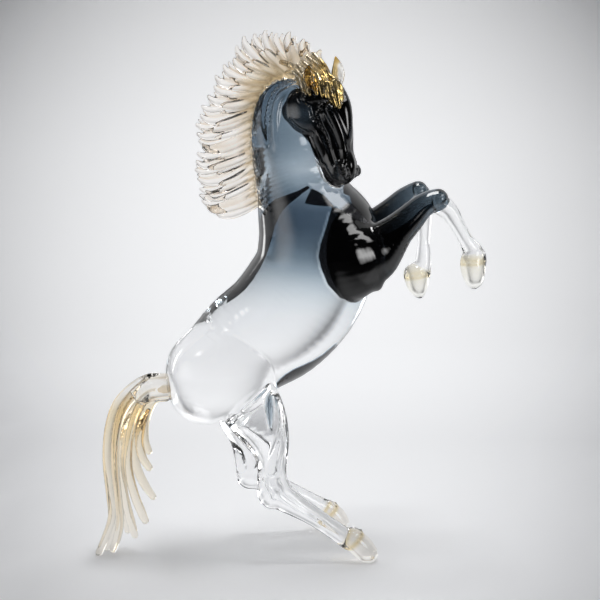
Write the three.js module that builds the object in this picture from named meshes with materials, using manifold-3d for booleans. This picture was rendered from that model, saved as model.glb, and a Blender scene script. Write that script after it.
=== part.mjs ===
// Rearing horse in hot-worked glass: dark head and shoulders, smoky neck and barrel, clear
// hindquarters, clear lower forelegs, amber-tinted hooves, a combed-out mane and a forked tail.
// Millimetres, +Z up, +X the way the horse faces, +Y its left. It stands on both hind hooves
// and on the lowest tip of the tail, each ground flat at z = 0.
//
// Each limb is a row of oval sections swept along a curve. A row reads
// [x, y, z, half depth in the bending plane, half width, taper towards the back of the section].
import * as THREE from 'three';
import Module from 'manifold-3d';

const GAP = 0.35;                // clearance between two gathers of glass that touch
const BODY_SEGMENTS = 18;        // facets round the trunk
const HEAD_SEGMENTS = 16;        // facets round the head
const HAUNCH_SEGMENTS = 12;      // facets round a thigh or shoulder
const LIMB_SEGMENTS = 10;        // facets round a leg
const STRAND_SEGMENTS = 5;       // facets round a strand of mane or tail
const STRAND_HALF_DEPTH = 5.4;   // widest half depth of a strand of mane
const STRAND_HALF_WIDTH = 4.1;   // its half width across the neck
const STRAND_SPLAY = 3.0;        // how far neighbouring strands stand apart across the neck
const TAIL_STRAND = 4.9;         // half depth of a strand of tail
const SHARPEST = 0.2;            // shortest edge kept after joining

const wasm = await Module();
wasm.setup();

// croup, barrel, chest and neck in one sweep, from the buttock to the poll
const TRUNK = [
  [-87.5, 0, 154.2, 30.9, 32],
  [-74.6, 0, 169.5, 42.8, 44, 0.05],
  [-46.1, 0, 196.5, 49.6, 46, 0.08],
  [-21.2, 0, 213.3, 53.3, 50, 0.08],
  [-0.9, 0, 235.9, 55.1, 53, 0.1],
  [12, 0, 260.4, 54.1, 54, 0.12],
  [16.5, 0, 288.7, 53.9, 53, 0.18],
  [6.8, 0, 315.1, 44.9, 46, 0.22],
  [-3.4, 0, 340.5, 36.6, 36, 0.3],
  [-11, -1, 365.8, 33.1, 29, 0.35],
  [-17.6, -3, 388.1, 27.6, 24, 0.35],
  [-16.2, -6, 407.6, 23.9, 20, 0.3],
  [-5, -9, 419, 19.4, 17, 0.2],
];

// right hind leg from the haunch to the hock
const THIGH_RIGHT = [
  [-77.5, -20, 172, 41.2, 26],
  [-58.4, -26, 167.1, 39.3, 24],
  [-44, -32, 148.7, 27.7, 21],
  [-39, -35, 128.2, 23.7, 17],
  [-34, -37, 112.8, 19.2, 14.5],
  [-32.3, -38, 100.1, 15.2, 12.5],
  [-31.6, -39, 88.4, 13, 11.5],
  [-30.9, -40, 75.6, 12.6, 11],
];

// left hind leg from the haunch to the hock
const THIGH_LEFT = [
  [-77.2, 20, 165.5, 40.6, 26],
  [-63.7, 26, 158.1, 37.2, 24],
  [-52.1, 30, 137.7, 29, 21],
  [-46.1, 34, 115.4, 22.6, 16],
  [-43.8, 38, 94.9, 16.1, 13.5],
  [-42.7, 40, 79.7, 13.3, 12],
  [-42.5, 42, 68.4, 12.4, 11],
  [-41.5, 43, 58.2, 11.9, 10.5],
];

// right hind cannon, forward and down to the hoof
const CANNON_RIGHT = [
  [-32.8, -41, 68.6, 13, 10.5],
  [-22.1, -42, 61.9, 12.6, 9.5],
  [-9.5, -43, 53.2, 10.4, 9],
  [4, -44, 44.5, 8.8, 8.2],
  [17.6, -45, 34.7, 8.3, 8],
  [29.6, -45, 25.7, 8.6, 8.6],
  [36.9, -45.5, 20.3, 9.1, 9.6],
];

// point of the right hock
const HOCK_RIGHT = [
  [-35.4, -40, 79.6, 8.1, 8],
  [-35.6, -41, 64.1, 7.2, 7.5],
  [-33.8, -41, 57.5, 5.4, 6],
];

// left hind cannon
const CANNON_LEFT = [
  [-39.6, 43, 60.1, 11.9, 10],
  [-27.9, 44, 53.4, 11, 9.5],
  [-12.3, 45, 45.5, 9.6, 8.6],
  [3.4, 46, 37.5, 8.7, 8],
  [15.3, 47, 30.6, 8.3, 8],
  [27.2, 48, 23.7, 8.7, 8.6],
  [33.3, 49, 20.1, 9.2, 9.3],
];

// point of the left hock
const HOCK_LEFT = [
  [-41.5, 42, 72.3, 8.1, 8],
  [-44.4, 43, 60.3, 7.6, 7.5],
  [-42.5, 43, 54.3, 5.7, 6],
];

// right shoulder
const SHOULDER_RIGHT = [
  [26.2, -27, 313, 12.4, 14],
  [31.3, -34, 295.9, 19.5, 20],
  [35.3, -37, 276.5, 24.3, 22],
  [39.2, -36, 260.2, 21.3, 20],
  [43.3, -34, 250.9, 13.4, 14],
];

// left shoulder
const SHOULDER_LEFT = [
  [32.3, 27, 311.3, 12.9, 14],
  [37.4, 34, 291.9, 20.5, 20],
  [40.9, 37, 270.8, 25.3, 22],
  [43.7, 36, 253.9, 22.5, 20],
  [47.2, 34, 244.6, 14.1, 14],
];

// right forearm, raised to the bent knee
const FOREARM_RIGHT = [
  [44.6, -36, 272.7, 28.4, 19],
  [58.8, -37, 279.6, 26.6, 17],
  [67.8, -37, 286.6, 22.2, 15],
  [80.4, -37, 298.9, 16, 13],
  [92.3, -36, 309.7, 13.3, 12],
  [103.3, -35, 320.2, 11.1, 11],
  [112.6, -34, 325.3, 10.1, 11],
  [119, -34, 327.4, 9.3, 10.5],
];

// right elbow
const ELBOW_RIGHT = [
  [50.1, -36, 263.6, 16, 15],
  [59.4, -35, 255.2, 8, 9],
  [63.3, -34, 251.3, 4.9, 6],
];

// left forearm
const FOREARM_LEFT = [
  [55, 36, 279.1, 26.2, 19],
  [68.5, 37, 285.4, 24.4, 17],
  [81.8, 37, 296.4, 18.8, 14.5],
  [94.1, 37, 309.4, 14.1, 13],
  [104.3, 36, 319.7, 12, 12],
  [112.9, 36, 326.1, 10.3, 10.5],
  [117.7, 36, 328.9, 9.4, 10],
];

// head from the poll to the muzzle
const HEAD = [
  [8.2, -13, 430.2, 19, 16.5, 0.12],
  [10.5, -15, 417, 27.5, 19.5, 0.12],
  [11.3, -15.7, 407.4, 31.5, 19.5, 0.12],
  [14.5, -18.6, 396.6, 31.5, 19, 0.12],
  [16.7, -20.6, 389.8, 27.5, 16.5, 0.12],
  [19.3, -22.9, 382, 24, 14, 0.12],
  [23.9, -27.1, 370.9, 18.6, 11.5, 0.12],
  [26.3, -29.2, 364.5, 16.5, 10.5, 0.12],
  [29.2, -31.9, 356.8, 15.3, 10.3, 0.12],
  [30.3, -32.8, 351.2, 15.4, 10.8, 0.12],
  [29.9, -32.5, 345.1, 13.5, 10, 0.12],
];

// clear right foreleg below the knee
const LEG_RIGHT = [
  [120.9, -34, 322.9, 9.4, 9],
  [129.5, -33, 316.5, 8.3, 8],
  [135.8, -32, 307.3, 6.9, 7],
  [141.9, -31, 297.5, 6.3, 6.5],
  [147.2, -30, 288.5, 6.5, 6.5],
  [153, -29, 279.8, 8.8, 8],
  [155.5, -29, 273.6, 10.1, 9.5],
  [156, -29, 269.5, 9.5, 9],
];

// clear left foreleg below the knee
const LEG_LEFT = [
  [120.6, 36, 327, 8.4, 8.5],
  [123.7, 36, 309.1, 7.1, 7.5],
  [123.4, 36, 290.2, 6.2, 6.5],
  [123.2, 35, 278.9, 5.8, 6.2],
  [123.3, 34, 268.6, 7.1, 7.5],
  [122.2, 33, 258.3, 8.3, 8.5],
  [121.3, 33, 252.6, 8.5, 8.5],
];

// right fore hoof, toe down
const HOOF_FORE_RIGHT = [
  [155.3, -29, 269.5, 10.4, 10.5],
  [155.7, -29, 262.2, 10, 11],
  [156.8, -29, 253.9, 7.7, 9.5],
  [156.9, -29, 249.3, 4.5, 6],
];

// left fore hoof, toe down
const HOOF_FORE_LEFT = [
  [118.5, 33, 249.8, 11.3, 10.5],
  [119.1, 33, 242.1, 9.4, 10.5],
  [120.6, 33, 234.5, 6.1, 8.5],
  [121.6, 33, 230.6, 3.4, 5],
];

// right hind hoof
const HOOF_HIND_RIGHT = [
  [40.9, -46, 21.2, 10.4, 11.2],
  [48.8, -46, 13.7, 10.7, 12],
  [54.7, -46, 7.4, 9.6, 12],
];

// left hind hoof
const HOOF_HIND_LEFT = [
  [35.3, 49, 19, 9.7, 10],
  [42.4, 50, 12.3, 10.2, 11.5],
  [46.4, 50, 7.1, 9.7, 12],
];

// right ear
const EAR_RIGHT = [
  [8.3, -34.5, 424.4, 3.7, 3.8],
  [5, -34.9, 429.5, 5.7, 3.5],
  [2.8, -35.4, 434.6, 6, 3.2],
  [1.9, -36.1, 439.6, 4.2, 2.6],
  [1.9, -36.7, 443.2, 1.8, 1.6],
  [2, -37, 444.7, 0.8, 1],
];

// left ear
const EAR_LEFT = [
  [29.7, -10.8, 424.4, 3.7, 3.8],
  [31.9, -8.6, 431.4, 5.7, 3.5],
  [33.1, -6.3, 438.4, 6, 3.2],
  [33, -3.7, 445.3, 4.2, 2.6],
  [32.2, -1.8, 450.3, 1.8, 1.6],
  [31.8, -1, 452.3, 0.8, 1],
];

// strands of the mane: root x, y, z and tip x, y, z, from the poll down to the withers
const MANE = [
  [25, -12, 425.1, 12.3, -12, 458.2],
  [19.7, -11.4, 428.6, 3.5, -11.4, 464.3],
  [14.4, -10.8, 431.2, -2.6, -10.8, 467.7],
  [8.2, -10.2, 433, -8.7, -10.2, 470.3],
  [2.9, -9.6, 433.9, -14.8, -9.6, 474.6],
  [-1.4, -9, 434.7, -25.4, -9, 472.8],
  [-5.8, -8.5, 436.5, -35.9, -8.5, 475.4],
  [-11.1, -7.9, 437.4, -44.7, -7.9, 471.5],
  [-15.5, -7.4, 437.4, -55.2, -7.4, 469.3],
  [-20.7, -6.9, 436.5, -60.4, -6.9, 459.8],
  [-26, -6.4, 433.9, -63.1, -6.4, 448.6],
  [-30.4, -5.9, 430.4, -71, -5.9, 443.4],
  [-33.9, -5.4, 426.9, -79, -5.4, 433],
  [-37, -4.9, 422.5, -78.6, -4.9, 423.5],
  [-39.2, -4.5, 418.2, -85.2, -4.5, 415.7],
  [-41.4, -4, 412.9, -89.7, -4, 406.1],
  [-43.6, -3.6, 406.8, -91.5, -3.6, 398.2],
  [-44.9, -3.2, 400.6, -94.7, -3.2, 390.3],
  [-45.8, -2.8, 394.4, -94.3, -2.8, 382.4],
  [-46.2, -2.4, 388.3, -91.7, -2.4, 375.4],
  [-46.6, -2.1, 382.1, -89, -2.1, 370],
  [-46.4, -1.7, 376.7, -93.5, -1.7, 364.8],
  [-46.2, -1.4, 370.5, -95.3, -1.4, 357.7],
  [-45.5, -1.1, 364.3, -95.4, -1.1, 349.7],
  [-44.4, -0.9, 358, -93.7, -0.9, 342.6],
  [-43.5, -0.6, 350.9, -91.1, -0.6, 332.8],
  [-42.6, -0.4, 343.7, -92, -0.4, 327.4],
  [-42, -0.2, 336.6, -89.4, -0.2, 322],
  [-41.5, -0.1, 329.4, -85, -0.1, 316.6],
  [-40.9, 0, 323.1, -77.8, 0, 312.9],
];

// where the tail leaves the croup
const TAIL_ROOT = [
  [-117.5, 0, 158, 11.8, 12],
  [-125.6, 0, 157.8, 12.2, 12.5],
  [-135.6, 0, 155.8, 11.8, 11],
  [-143.7, 0, 151.5, 9.9, 9],
];

// strands of the tail, each from the root to its tip
const TAIL = [
  [[-122.8, -0.3, 164.7], [-137.2, 0.4, 166], [-152.6, 1.2, 158], [-167.2, 2, 142.6], [-174.8, 2.8, 118.6], [-177.2, 3.5, 90.5], [-175.1, 4.3, 60], [-173.7, 5.2, 36.9], [-179.5, 6.1, 17.9], [-187, 7, 0.6]],
  [[-123, -1.8, 161.3], [-137.3, -1.4, 161.8], [-150, -1.1, 153.8], [-162, -0.8, 138.5], [-168.7, -0.4, 115.4], [-170.2, -0.1, 86.5], [-168, 0.3, 56.2], [-166.6, 1.2, 34], [-169.6, 2.1, 17.7], [-173.5, 3, 7.1]],
  [[-122.8, 1, 157], [-136.3, 2.4, 156.3], [-147.2, 3.8, 148], [-156.4, 5.2, 133.1], [-162.2, 6.5, 110.6], [-164.6, 7.9, 81.2], [-161.4, 9, 52.3], [-156.3, 10, 28.9], [-152.9, 11, 14.9]],
  [[-123, -1.4, 154.8], [-135.6, -0.9, 154.2], [-144.7, -0.4, 146.1], [-152.2, 0.1, 131.4], [-157.1, 0.6, 109.1], [-158.4, 1.1, 84.7], [-153.4, 2, 59.7], [-147.3, 3, 42], [-143.7, 4, 33]],
  [[-122.9, 0.7, 151.5], [-134.6, 2.1, 150.7], [-141.9, 3.6, 142.3], [-148.4, 5, 128.2], [-152.3, 6.4, 107.4], [-151.7, 7.7, 86.4], [-144.7, 8.9, 66.8], [-135.7, 10, 51.8]],
  [[-123.1, -1.4, 150.2], [-133.9, -0.7, 148.5], [-140.3, -0.1, 140.3], [-145, 0.6, 127.3], [-148, 1.3, 108.6], [-145.5, 2.7, 93.1], [-139.2, 4, 82.1]],
  [[-123, 0.7, 147.8], [-132.8, 2.7, 145.9], [-138.3, 4.7, 136.3], [-142.1, 6.7, 122], [-142.3, 8.4, 106.5], [-138.7, 10, 94.6]],
  [[-122.7, 3.2, 155.6], [-136.2, 5.3, 155.6], [-148, 7.4, 147.2], [-159, 9.5, 132.2], [-165.7, 11.7, 109.5], [-168, 13.8, 79.7], [-165.8, 15, 50.7], [-160.7, 16, 29.1], [-159, 17, 17.1]],
  [[-122.7, 2.5, 159.5], [-137.1, 4.1, 159.6], [-149.8, 5.8, 151.4], [-160.8, 7.5, 135.6], [-167.5, 9.1, 113], [-171.7, 10.8, 83.6], [-170.4, 12.3, 52.7], [-169.9, 13.2, 30.4], [-174.9, 14.1, 11.2], [-178.7, 15, 2.4]],
];

// locks falling over the forehead
const FORELOCK = [
  [[11.7, -16, 432.1, 4.8, 4.7], [18.9, -16, 428.7, 4.8, 4.7], [25.2, -16, 421.7, 4.9, 4.7], [29.7, -16, 412, 2.7, 2.6]],
  [[14.5, -10, 432.1, 4.4, 4.2], [23.5, -10, 430.4, 4.4, 4.2], [30.7, -10, 423.3, 4.4, 4.2], [33.5, -10, 414.5, 2.4, 2.3]],
  [[8.1, -27, 432.2, 3.9, 3.8], [11.6, -27, 427, 3.9, 3.8], [13.4, -27, 421, 3.9, 3.8], [15.2, -27, 415.8, 2.2, 2.1]],
  [[5.8, -30, 432.2, 3.7, 3.6], [5.8, -30, 427.1, 3.7, 3.6], [6.7, -30, 421.9, 3.7, 3.6], [9.4, -30, 417.6, 2, 2]],
  [[10.7, -22, 433.1, 4.2, 4.1], [16, -22, 429.6, 4.2, 4.1], [19.6, -22, 423.5, 4.2, 4.1], [22.3, -22, 415.7, 2.3, 2.2]],
];

const HEAD_DOWN = [0.2296, -0.2068, -0.9511];     // along the face, poll to muzzle
const HEAD_FRONT = [0.7068, -0.6364, 0.309];      // out of the forehead
const HEAD_SIDE = [0.6691, 0.7431, 0];            // across the face
const HEAD_ORIGIN = [9.4, -14, 428.7];            // between the ears
const FACE = [                                    // [down, front, aside, radii down, front, aside]
  [25, -13, 10, 20, 19, 8.5],                     // cheek plate
  [27, 15, 12, 9, 6, 5],                          // brow
  [83, 9, 8.5, 6.5, 6.5, 4],                      // nostril wing
];
const CHIN = [88, -7, 0, 8, 7, 7];
const BREAST = { centre: [43, 0, 299.5], radii: [23, 30, 29] };
const POLL = { centre: [12.3, -18, 433], radii: [12, 14, 7] };

const vec = (a) => new THREE.Vector3(a[0], a[1], a[2]);

// Catmull-Rom through the rows of a table
function smooth(rows, sub) {
  const width = Math.max(...rows.map((r) => r.length));
  const p = rows.map((r) => Array.from({ length: width }, (_, k) => r[k] ?? 0));
  const first = p[0].map((v, k) => 2 * v - p[1][k]);
  const last = p.at(-1).map((v, k) => 2 * v - p.at(-2)[k]);
  const q = [first, ...p, last];
  const out = [];
  for (let i = 1; i < q.length - 2; i++) {
    for (let j = 0; j < sub; j++) {
      const t = j / sub;
      out.push(q[i].map((b, k) => 0.5 * (2 * b + (q[i + 1][k] - q[i - 1][k]) * t
        + (2 * q[i - 1][k] - 5 * b + 4 * q[i + 1][k] - q[i + 2][k]) * t * t
        + (3 * b - q[i - 1][k] - 3 * q[i + 1][k] + q[i + 2][k]) * t * t * t)));
    }
  }
  out.push(q.at(-2));
  return out;
}

// A closed solid from vertices and triangles
function solid(points, triangles) {
  return new wasm.Manifold(new wasm.Mesh({
    numProp: 3,
    vertProperties: Float32Array.from(points.flat()),
    triVerts: Uint32Array.from(triangles.flat()),
  }));
}

// Oval sections swept along a table, with rounded ends
function limb(table, { segments = LIMB_SEGMENTS, sub = 1, across = [0, 1, 0], caps = [45], grow = 0 } = {}) {
  const rows = smooth(table, sub);
  const points = [], triangles = [];
  const ring = (centre, n, s, a, b, taper) => {
    for (let j = 0; j < segments; j++) {
      const w = (2 * Math.PI * j) / segments;
      const c = Math.cos(w), side = b * (1 - taper * c) * Math.sin(w);
      points.push([0, 1, 2].map((k) => centre.getComponent(k) + n.getComponent(k) * a * c + s.getComponent(k) * side));
    }
  };
  const frame = (i) => {
    const t = vec(rows[Math.min(i + 1, rows.length - 1)]).sub(vec(rows[Math.max(i - 1, 0)])).normalize();
    const s = vec(across);
    s.addScaledVector(t, -s.dot(t)).normalize();
    return { t, s, n: new THREE.Vector3().crossVectors(t, s) };
  };
  const capAngles = caps.map((d) => THREE.MathUtils.degToRad(d));
  const end = (i, sign) => {
    const r = rows[i], { t, s, n } = frame(i);
    const a = r[3] + grow, b = r[4] + grow, reach = Math.min(a, b);
    const list = sign < 0 ? capAngles : [...capAngles].reverse();
    const rings = list.map((w) => () => ring(vec(r).addScaledVector(t, sign * reach * Math.sin(w)), n, s, a * Math.cos(w), b * Math.cos(w), r[5] ?? 0));
    const apex = () => points.push(vec(r).addScaledVector(t, sign * reach).toArray());
    return { rings, apex };
  };
  const start = end(0, -1), finish = end(rows.length - 1, 1);
  start.apex();
  start.rings.forEach((f) => f());
  rows.forEach((r, i) => {
    const { s, n } = frame(i);
    ring(vec(r), n, s, r[3] + grow, r[4] + grow, r[5] ?? 0);
  });
  finish.rings.forEach((f) => f());
  finish.apex();
  const rings = rows.length + 2 * capAngles.length;
  const at = (i, j) => 1 + i * segments + (j % segments);
  const top = points.length - 1;
  for (let j = 0; j < segments; j++) {
    triangles.push([0, at(0, j), at(0, j + 1)]);
    for (let i = 0; i + 1 < rings; i++) {
      triangles.push([at(i, j), at(i + 1, j), at(i + 1, j + 1)], [at(i, j), at(i + 1, j + 1), at(i, j + 1)]);
    }
    triangles.push([top, at(rings - 1, j + 1), at(rings - 1, j)]);
  }
  return solid(points, triangles);
}

// An ellipsoid with its radii along three axes
function ball(centre, radii, axes = [[1, 0, 0], [0, 1, 0], [0, 0, 1]], grow = 0) {
  const around = 10, down = 6;
  const place = (x, y, z) => [0, 1, 2].map((k) => centre[k] + x * axes[0][k] + y * axes[1][k] + z * axes[2][k]);
  const [ra, rb, rc] = radii.map((r) => r + grow);
  const points = [place(ra, 0, 0)], triangles = [];
  for (let i = 1; i < down; i++) {
    const v = (Math.PI * i) / down;
    for (let j = 0; j < around; j++) {
      const u = (2 * Math.PI * j) / around;
      points.push(place(ra * Math.cos(v), rb * Math.sin(v) * Math.cos(u), rc * Math.sin(v) * Math.sin(u)));
    }
  }
  points.push(place(-ra, 0, 0));
  const at = (i, j) => 1 + i * around + (j % around);
  const handed = vec(axes[0]).dot(new THREE.Vector3().crossVectors(vec(axes[1]), vec(axes[2]))) > 0;
  const put = (a, b, c) => triangles.push(handed ? [a, b, c] : [a, c, b]);
  for (let j = 0; j < around; j++) {
    put(0, at(0, j), at(0, j + 1));
    for (let i = 0; i < down - 2; i++) {
      put(at(i, j), at(i + 1, j), at(i + 1, j + 1));
      put(at(i, j), at(i + 1, j + 1), at(i, j + 1));
    }
    put(points.length - 1, at(down - 2, j + 1), at(down - 2, j));
  }
  return solid(points, triangles);
}

const join = (list) => list.reduce((a, b) => a.add(b));
const cut = (a, list) => list.reduce((m, b) => m.subtract(b), a);

// A place on the head, given along, out of and across the face
const onHead = (down, front, aside) => HEAD_ORIGIN.map((o, k) => o + down * HEAD_DOWN[k] + front * HEAD_FRONT[k] + aside * HEAD_SIDE[k]);
const headAxes = [HEAD_DOWN, HEAD_FRONT, HEAD_SIDE];

function makeBody(grow) {
  const face = [-1, 1].flatMap((side) => FACE.map(([d, f, a, ...r]) => ball(onHead(d, f, side * a), r, headAxes, grow)));
  return join([
    limb(TRUNK, { segments: BODY_SEGMENTS, sub: 2, caps: [60, 30], grow }),
    limb(HEAD, { segments: HEAD_SEGMENTS, across: HEAD_SIDE, caps: [60, 30], grow }),
    ...face,
    ball(onHead(CHIN[0], CHIN[1], CHIN[2]), CHIN.slice(3), headAxes, grow),
    ball(BREAST.centre, BREAST.radii, undefined, grow),
    ...[THIGH_RIGHT, THIGH_LEFT, SHOULDER_RIGHT, SHOULDER_LEFT].map((t) => limb(t, { segments: HAUNCH_SEGMENTS, grow })),
    ...[CANNON_RIGHT, HOCK_RIGHT, CANNON_LEFT, HOCK_LEFT, FOREARM_RIGHT, ELBOW_RIGHT, FOREARM_LEFT].map((t) => limb(t, { grow })),
  ]);
}

// One strand of the mane: a drop that leaves the crest, bellies out and curls up at its tip
function strand([rx, ry, rz, tx, ty, tz], i, grow) {
  const dx = tx - rx, dz = tz - rz, length = Math.hypot(dx, dz);
  const sag = (0.05 + 0.02 * Math.sin(2.4 * i)) * length;
  const splay = i % 2 ? STRAND_SPLAY : -STRAND_SPLAY;
  const profile = [[-0.08, 0.85, 1], [0.3, 1.03, 1.02], [0.65, 0.93, 0.88], [0.84, 0.66, 0.7], [0.955, 0.38, 0.5]];
  const rows = profile.map(([s, a, b]) => {
    const drop = sag * Math.sin(Math.PI * Math.min(Math.max(s, 0), 1));
    const nx = dz / length, nz = -dx / length;                      // across the strand
    const up = nz > 0 ? 1 : -1;
    return [rx + dx * s - up * nx * drop, ry + (ty - ry) * s + splay * (0.4 + 0.9 * s), rz + dz * s - up * nz * drop,
      STRAND_HALF_DEPTH * a, STRAND_HALF_WIDTH * b];
  });
  return limb(rows, { segments: STRAND_SEGMENTS, sub: 1, grow });
}

function makeMane(grow) {
  const web = MANE.filter((_, i) => i % 3 === 0 || i === MANE.length - 1).map(([x, y, z]) => [x, y, z, 5, 4.5]);
  return join([limb(web, { segments: 8, sub: 1, grow }), ...MANE.map((row, i) => strand(row, i, grow))]);
}

function makeTail(grow) {
  const lock = (points) => {
    const last = points.length - 1;
    return points.map((p, i) => [...p, i === last ? 3 : TAIL_STRAND * (1 - 0.2 * i / last), i === last ? 3 : TAIL_STRAND * 0.96]);
  };
  return join([limb(TAIL_ROOT, { grow }), ...TAIL.map((p) => limb(lock(p), { segments: STRAND_SEGMENTS, sub: 1, grow }))]);
}

const makeEar = (table, grow) => limb(table, { segments: 8, grow });
const makeForelock = () => join([ball(POLL.centre, POLL.radii), ...FORELOCK.map((t) => limb(t, { segments: 7 }))]);

// A block below the floor, to grind the feet flat
function floorBlock() {
  const [w, d, h] = [600, 400, 100];
  const points = [], triangles = [];
  for (const z of [-h, 0]) for (const y of [-d, d]) for (const x of [-w, w]) points.push([x, y, z]);
  for (const [a, b, c, e] of [[0, 2, 3, 1], [4, 5, 7, 6], [0, 1, 5, 4], [2, 6, 7, 3], [0, 4, 6, 2], [1, 3, 7, 5]]) triangles.push([a, b, c], [a, c, e]);
  return solid(points, triangles);
}

// Tidies a joined solid: collapses edges shorter than the limit where the surface stays closed, keeps the one body
function tidy(manifold, limit) {
  const mesh = manifold.getMesh();
  const stride = mesh.numProp;
  const points = [];
  for (let i = 0; i < mesh.vertProperties.length; i += stride) points.push([mesh.vertProperties[i], mesh.vertProperties[i + 1], mesh.vertProperties[i + 2]]);
  const same = points.map((_, i) => i);
  for (let i = 0; i < (mesh.mergeFromVert?.length ?? 0); i++) same[mesh.mergeFromVert[i]] = mesh.mergeToVert[i];
  let faces = [];
  for (let i = 0; i < mesh.triVerts.length; i += 3) faces.push([same[mesh.triVerts[i]], same[mesh.triVerts[i + 1]], same[mesh.triVerts[i + 2]]]);
  const ringOf = (list) => {
    const around = new Map();
    list.forEach((f, k) => f.forEach((v) => { if (!around.has(v)) around.set(v, new Set()); around.get(v).add(k); }));
    return around;
  };
  const around = ringOf(faces);
  const gone = new Set();
  const neighbours = (v) => { const s = new Set(); for (const k of around.get(v)) for (const w of faces[k]) if (w !== v) s.add(w); return s; };
  const normal = (f, v, p) => {
    const [a, b, c] = f.map((w) => vec(w === v ? p : points[w]));
    return new THREE.Vector3().crossVectors(b.sub(a), c.sub(a));
  };
  for (let pass = 0; pass < 6; pass++) {
    let done = 0;
    for (let k = 0; k < faces.length; k++) {
      if (gone.has(k)) continue;
      for (let e = 0; e < 3; e++) {
        const a = faces[k][e], b = faces[k][(e + 1) % 3];
        if (vec(points[a]).distanceTo(vec(points[b])) > limit) continue;
        const na = neighbours(a), nb = neighbours(b);
        if ([...na].filter((v) => nb.has(v)).length !== 2) continue;
        const keepFlat = (from, to) => [...around.get(from)].every((q) => {
          if (faces[q].includes(to)) return true;
          const before = normal(faces[q], -1, null), after = normal(faces[q], from, points[to]);
          return after.length() > 1e-9 && (before.length() < limit * 0.02 || before.dot(after) > 0.2 * before.length() * after.length());
        });
        const [from, to] = keepFlat(a, b) ? [a, b] : keepFlat(b, a) ? [b, a] : [-1, -1];
        if (from < 0) continue;
        for (const q of [...around.get(from)]) {
          if (faces[q].includes(to)) { gone.add(q); for (const v of faces[q]) around.get(v).delete(q); } else {
            faces[q] = faces[q].map((v) => (v === from ? to : v));
            around.get(to).add(q);
          }
        }
        around.delete(from);
        done++;
        break;
      }
    }
    if (!done) break;
  }
  faces = faces.filter((_, k) => !gone.has(k));
  // the largest connected body
  const parent = points.map((_, i) => i);
  const root = (i) => { while (parent[i] !== i) { parent[i] = parent[parent[i]]; i = parent[i]; } return i; };
  for (const [a, b, c] of faces) { parent[root(a)] = root(b); parent[root(b)] = root(c); }
  const bodies = new Map();
  for (const f of faces) { const r = root(f[0]); if (!bodies.has(r)) bodies.set(r, []); bodies.get(r).push(f); }
  const volume = (list) => list.reduce((s, f) => s + vec(points[f[0]]).dot(new THREE.Vector3().crossVectors(vec(points[f[1]]), vec(points[f[2]]))) / 6, 0);
  const best = [...bodies.values()].sort((p, q) => volume(q) - volume(p))[0];
  const index = new Map(), position = [], triangles = [];
  for (const f of best) for (const v of f) {
    if (!index.has(v)) { index.set(v, index.size); position.push(...points[v]); }
    triangles.push(index.get(v));
  }
  const geometry = new THREE.BufferGeometry();
  geometry.setAttribute('position', new THREE.Float32BufferAttribute(position, 3));
  geometry.setIndex(triangles);
  return geometry;
}

// ---- the gathers, each clear of the ones it is fused to
const floor = floorBlock();
const bodyRoom = makeBody(GAP);
const rightEar = makeEar(EAR_RIGHT, 0), leftEar = makeEar(EAR_LEFT, 0);
const earRoom = [makeEar(EAR_RIGHT, GAP), makeEar(EAR_LEFT, GAP)];
const hoof = (t, grow) => limb(t, { caps: [60, 30], grow });
const hindRoom = [hoof(HOOF_HIND_RIGHT, GAP), hoof(HOOF_HIND_LEFT, GAP)];

const parts = {
  body: cut(makeBody(0), [...hindRoom, floor]),
  lower_foreleg_right: cut(limb(LEG_RIGHT), [bodyRoom, hoof(HOOF_FORE_RIGHT, GAP)]),
  lower_foreleg_left: cut(limb(LEG_LEFT), [bodyRoom, hoof(HOOF_FORE_LEFT, GAP)]),
  hoof_fore_right: hoof(HOOF_FORE_RIGHT, 0),
  hoof_fore_left: hoof(HOOF_FORE_LEFT, 0),
  hoof_hind_right: cut(hoof(HOOF_HIND_RIGHT, 0), [floor]),
  hoof_hind_left: cut(hoof(HOOF_HIND_LEFT, 0), [floor]),
  ear_right: cut(rightEar, [bodyRoom]),
  ear_left: cut(leftEar, [bodyRoom]),
  mane: cut(makeMane(0), [bodyRoom, ...earRoom]),
  forelock: cut(makeForelock(), [bodyRoom, ...earRoom, makeMane(GAP)]),
  tail: cut(makeTail(0), [bodyRoom, floor]),
};

const material = (color, roughness = 0.04) => new THREE.MeshStandardMaterial({ color, roughness, metalness: 0 });
const colours = {
  body: 0x6f8088,
  lower_foreleg_right: 0xd9dedf,
  lower_foreleg_left: 0xd9dedf,
  hoof_fore_right: 0xcfcbb9,
  hoof_fore_left: 0xcfcbb9,
  hoof_hind_right: 0xc4ac78,
  hoof_hind_left: 0xb8995c,
  ear_right: 0xb79a63,
  ear_left: 0xcfc6a8,
  mane: 0xdccab0,
  forelock: 0xa98648,
  tail: 0xcdb183,
};

const horse = new THREE.Group();
const geometries = Object.fromEntries(Object.entries(parts).map(([name, m]) => [name, tidy(m, SHARPEST)]));

// the origin is on the floor, under the middle of the whole outline
const box = new THREE.Box3();
for (const g of Object.values(geometries)) { g.computeBoundingBox(); box.union(g.boundingBox); }
const middle = box.getCenter(new THREE.Vector3());
for (const [name, geometry] of Object.entries(geometries)) {
  geometry.translate(-middle.x, -middle.y, 0);
  geometry.computeVertexNormals();
  const mesh = new THREE.Mesh(geometry, material(colours[name]));
  mesh.name = name;
  horse.add(mesh);
}

export default horse;
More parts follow.
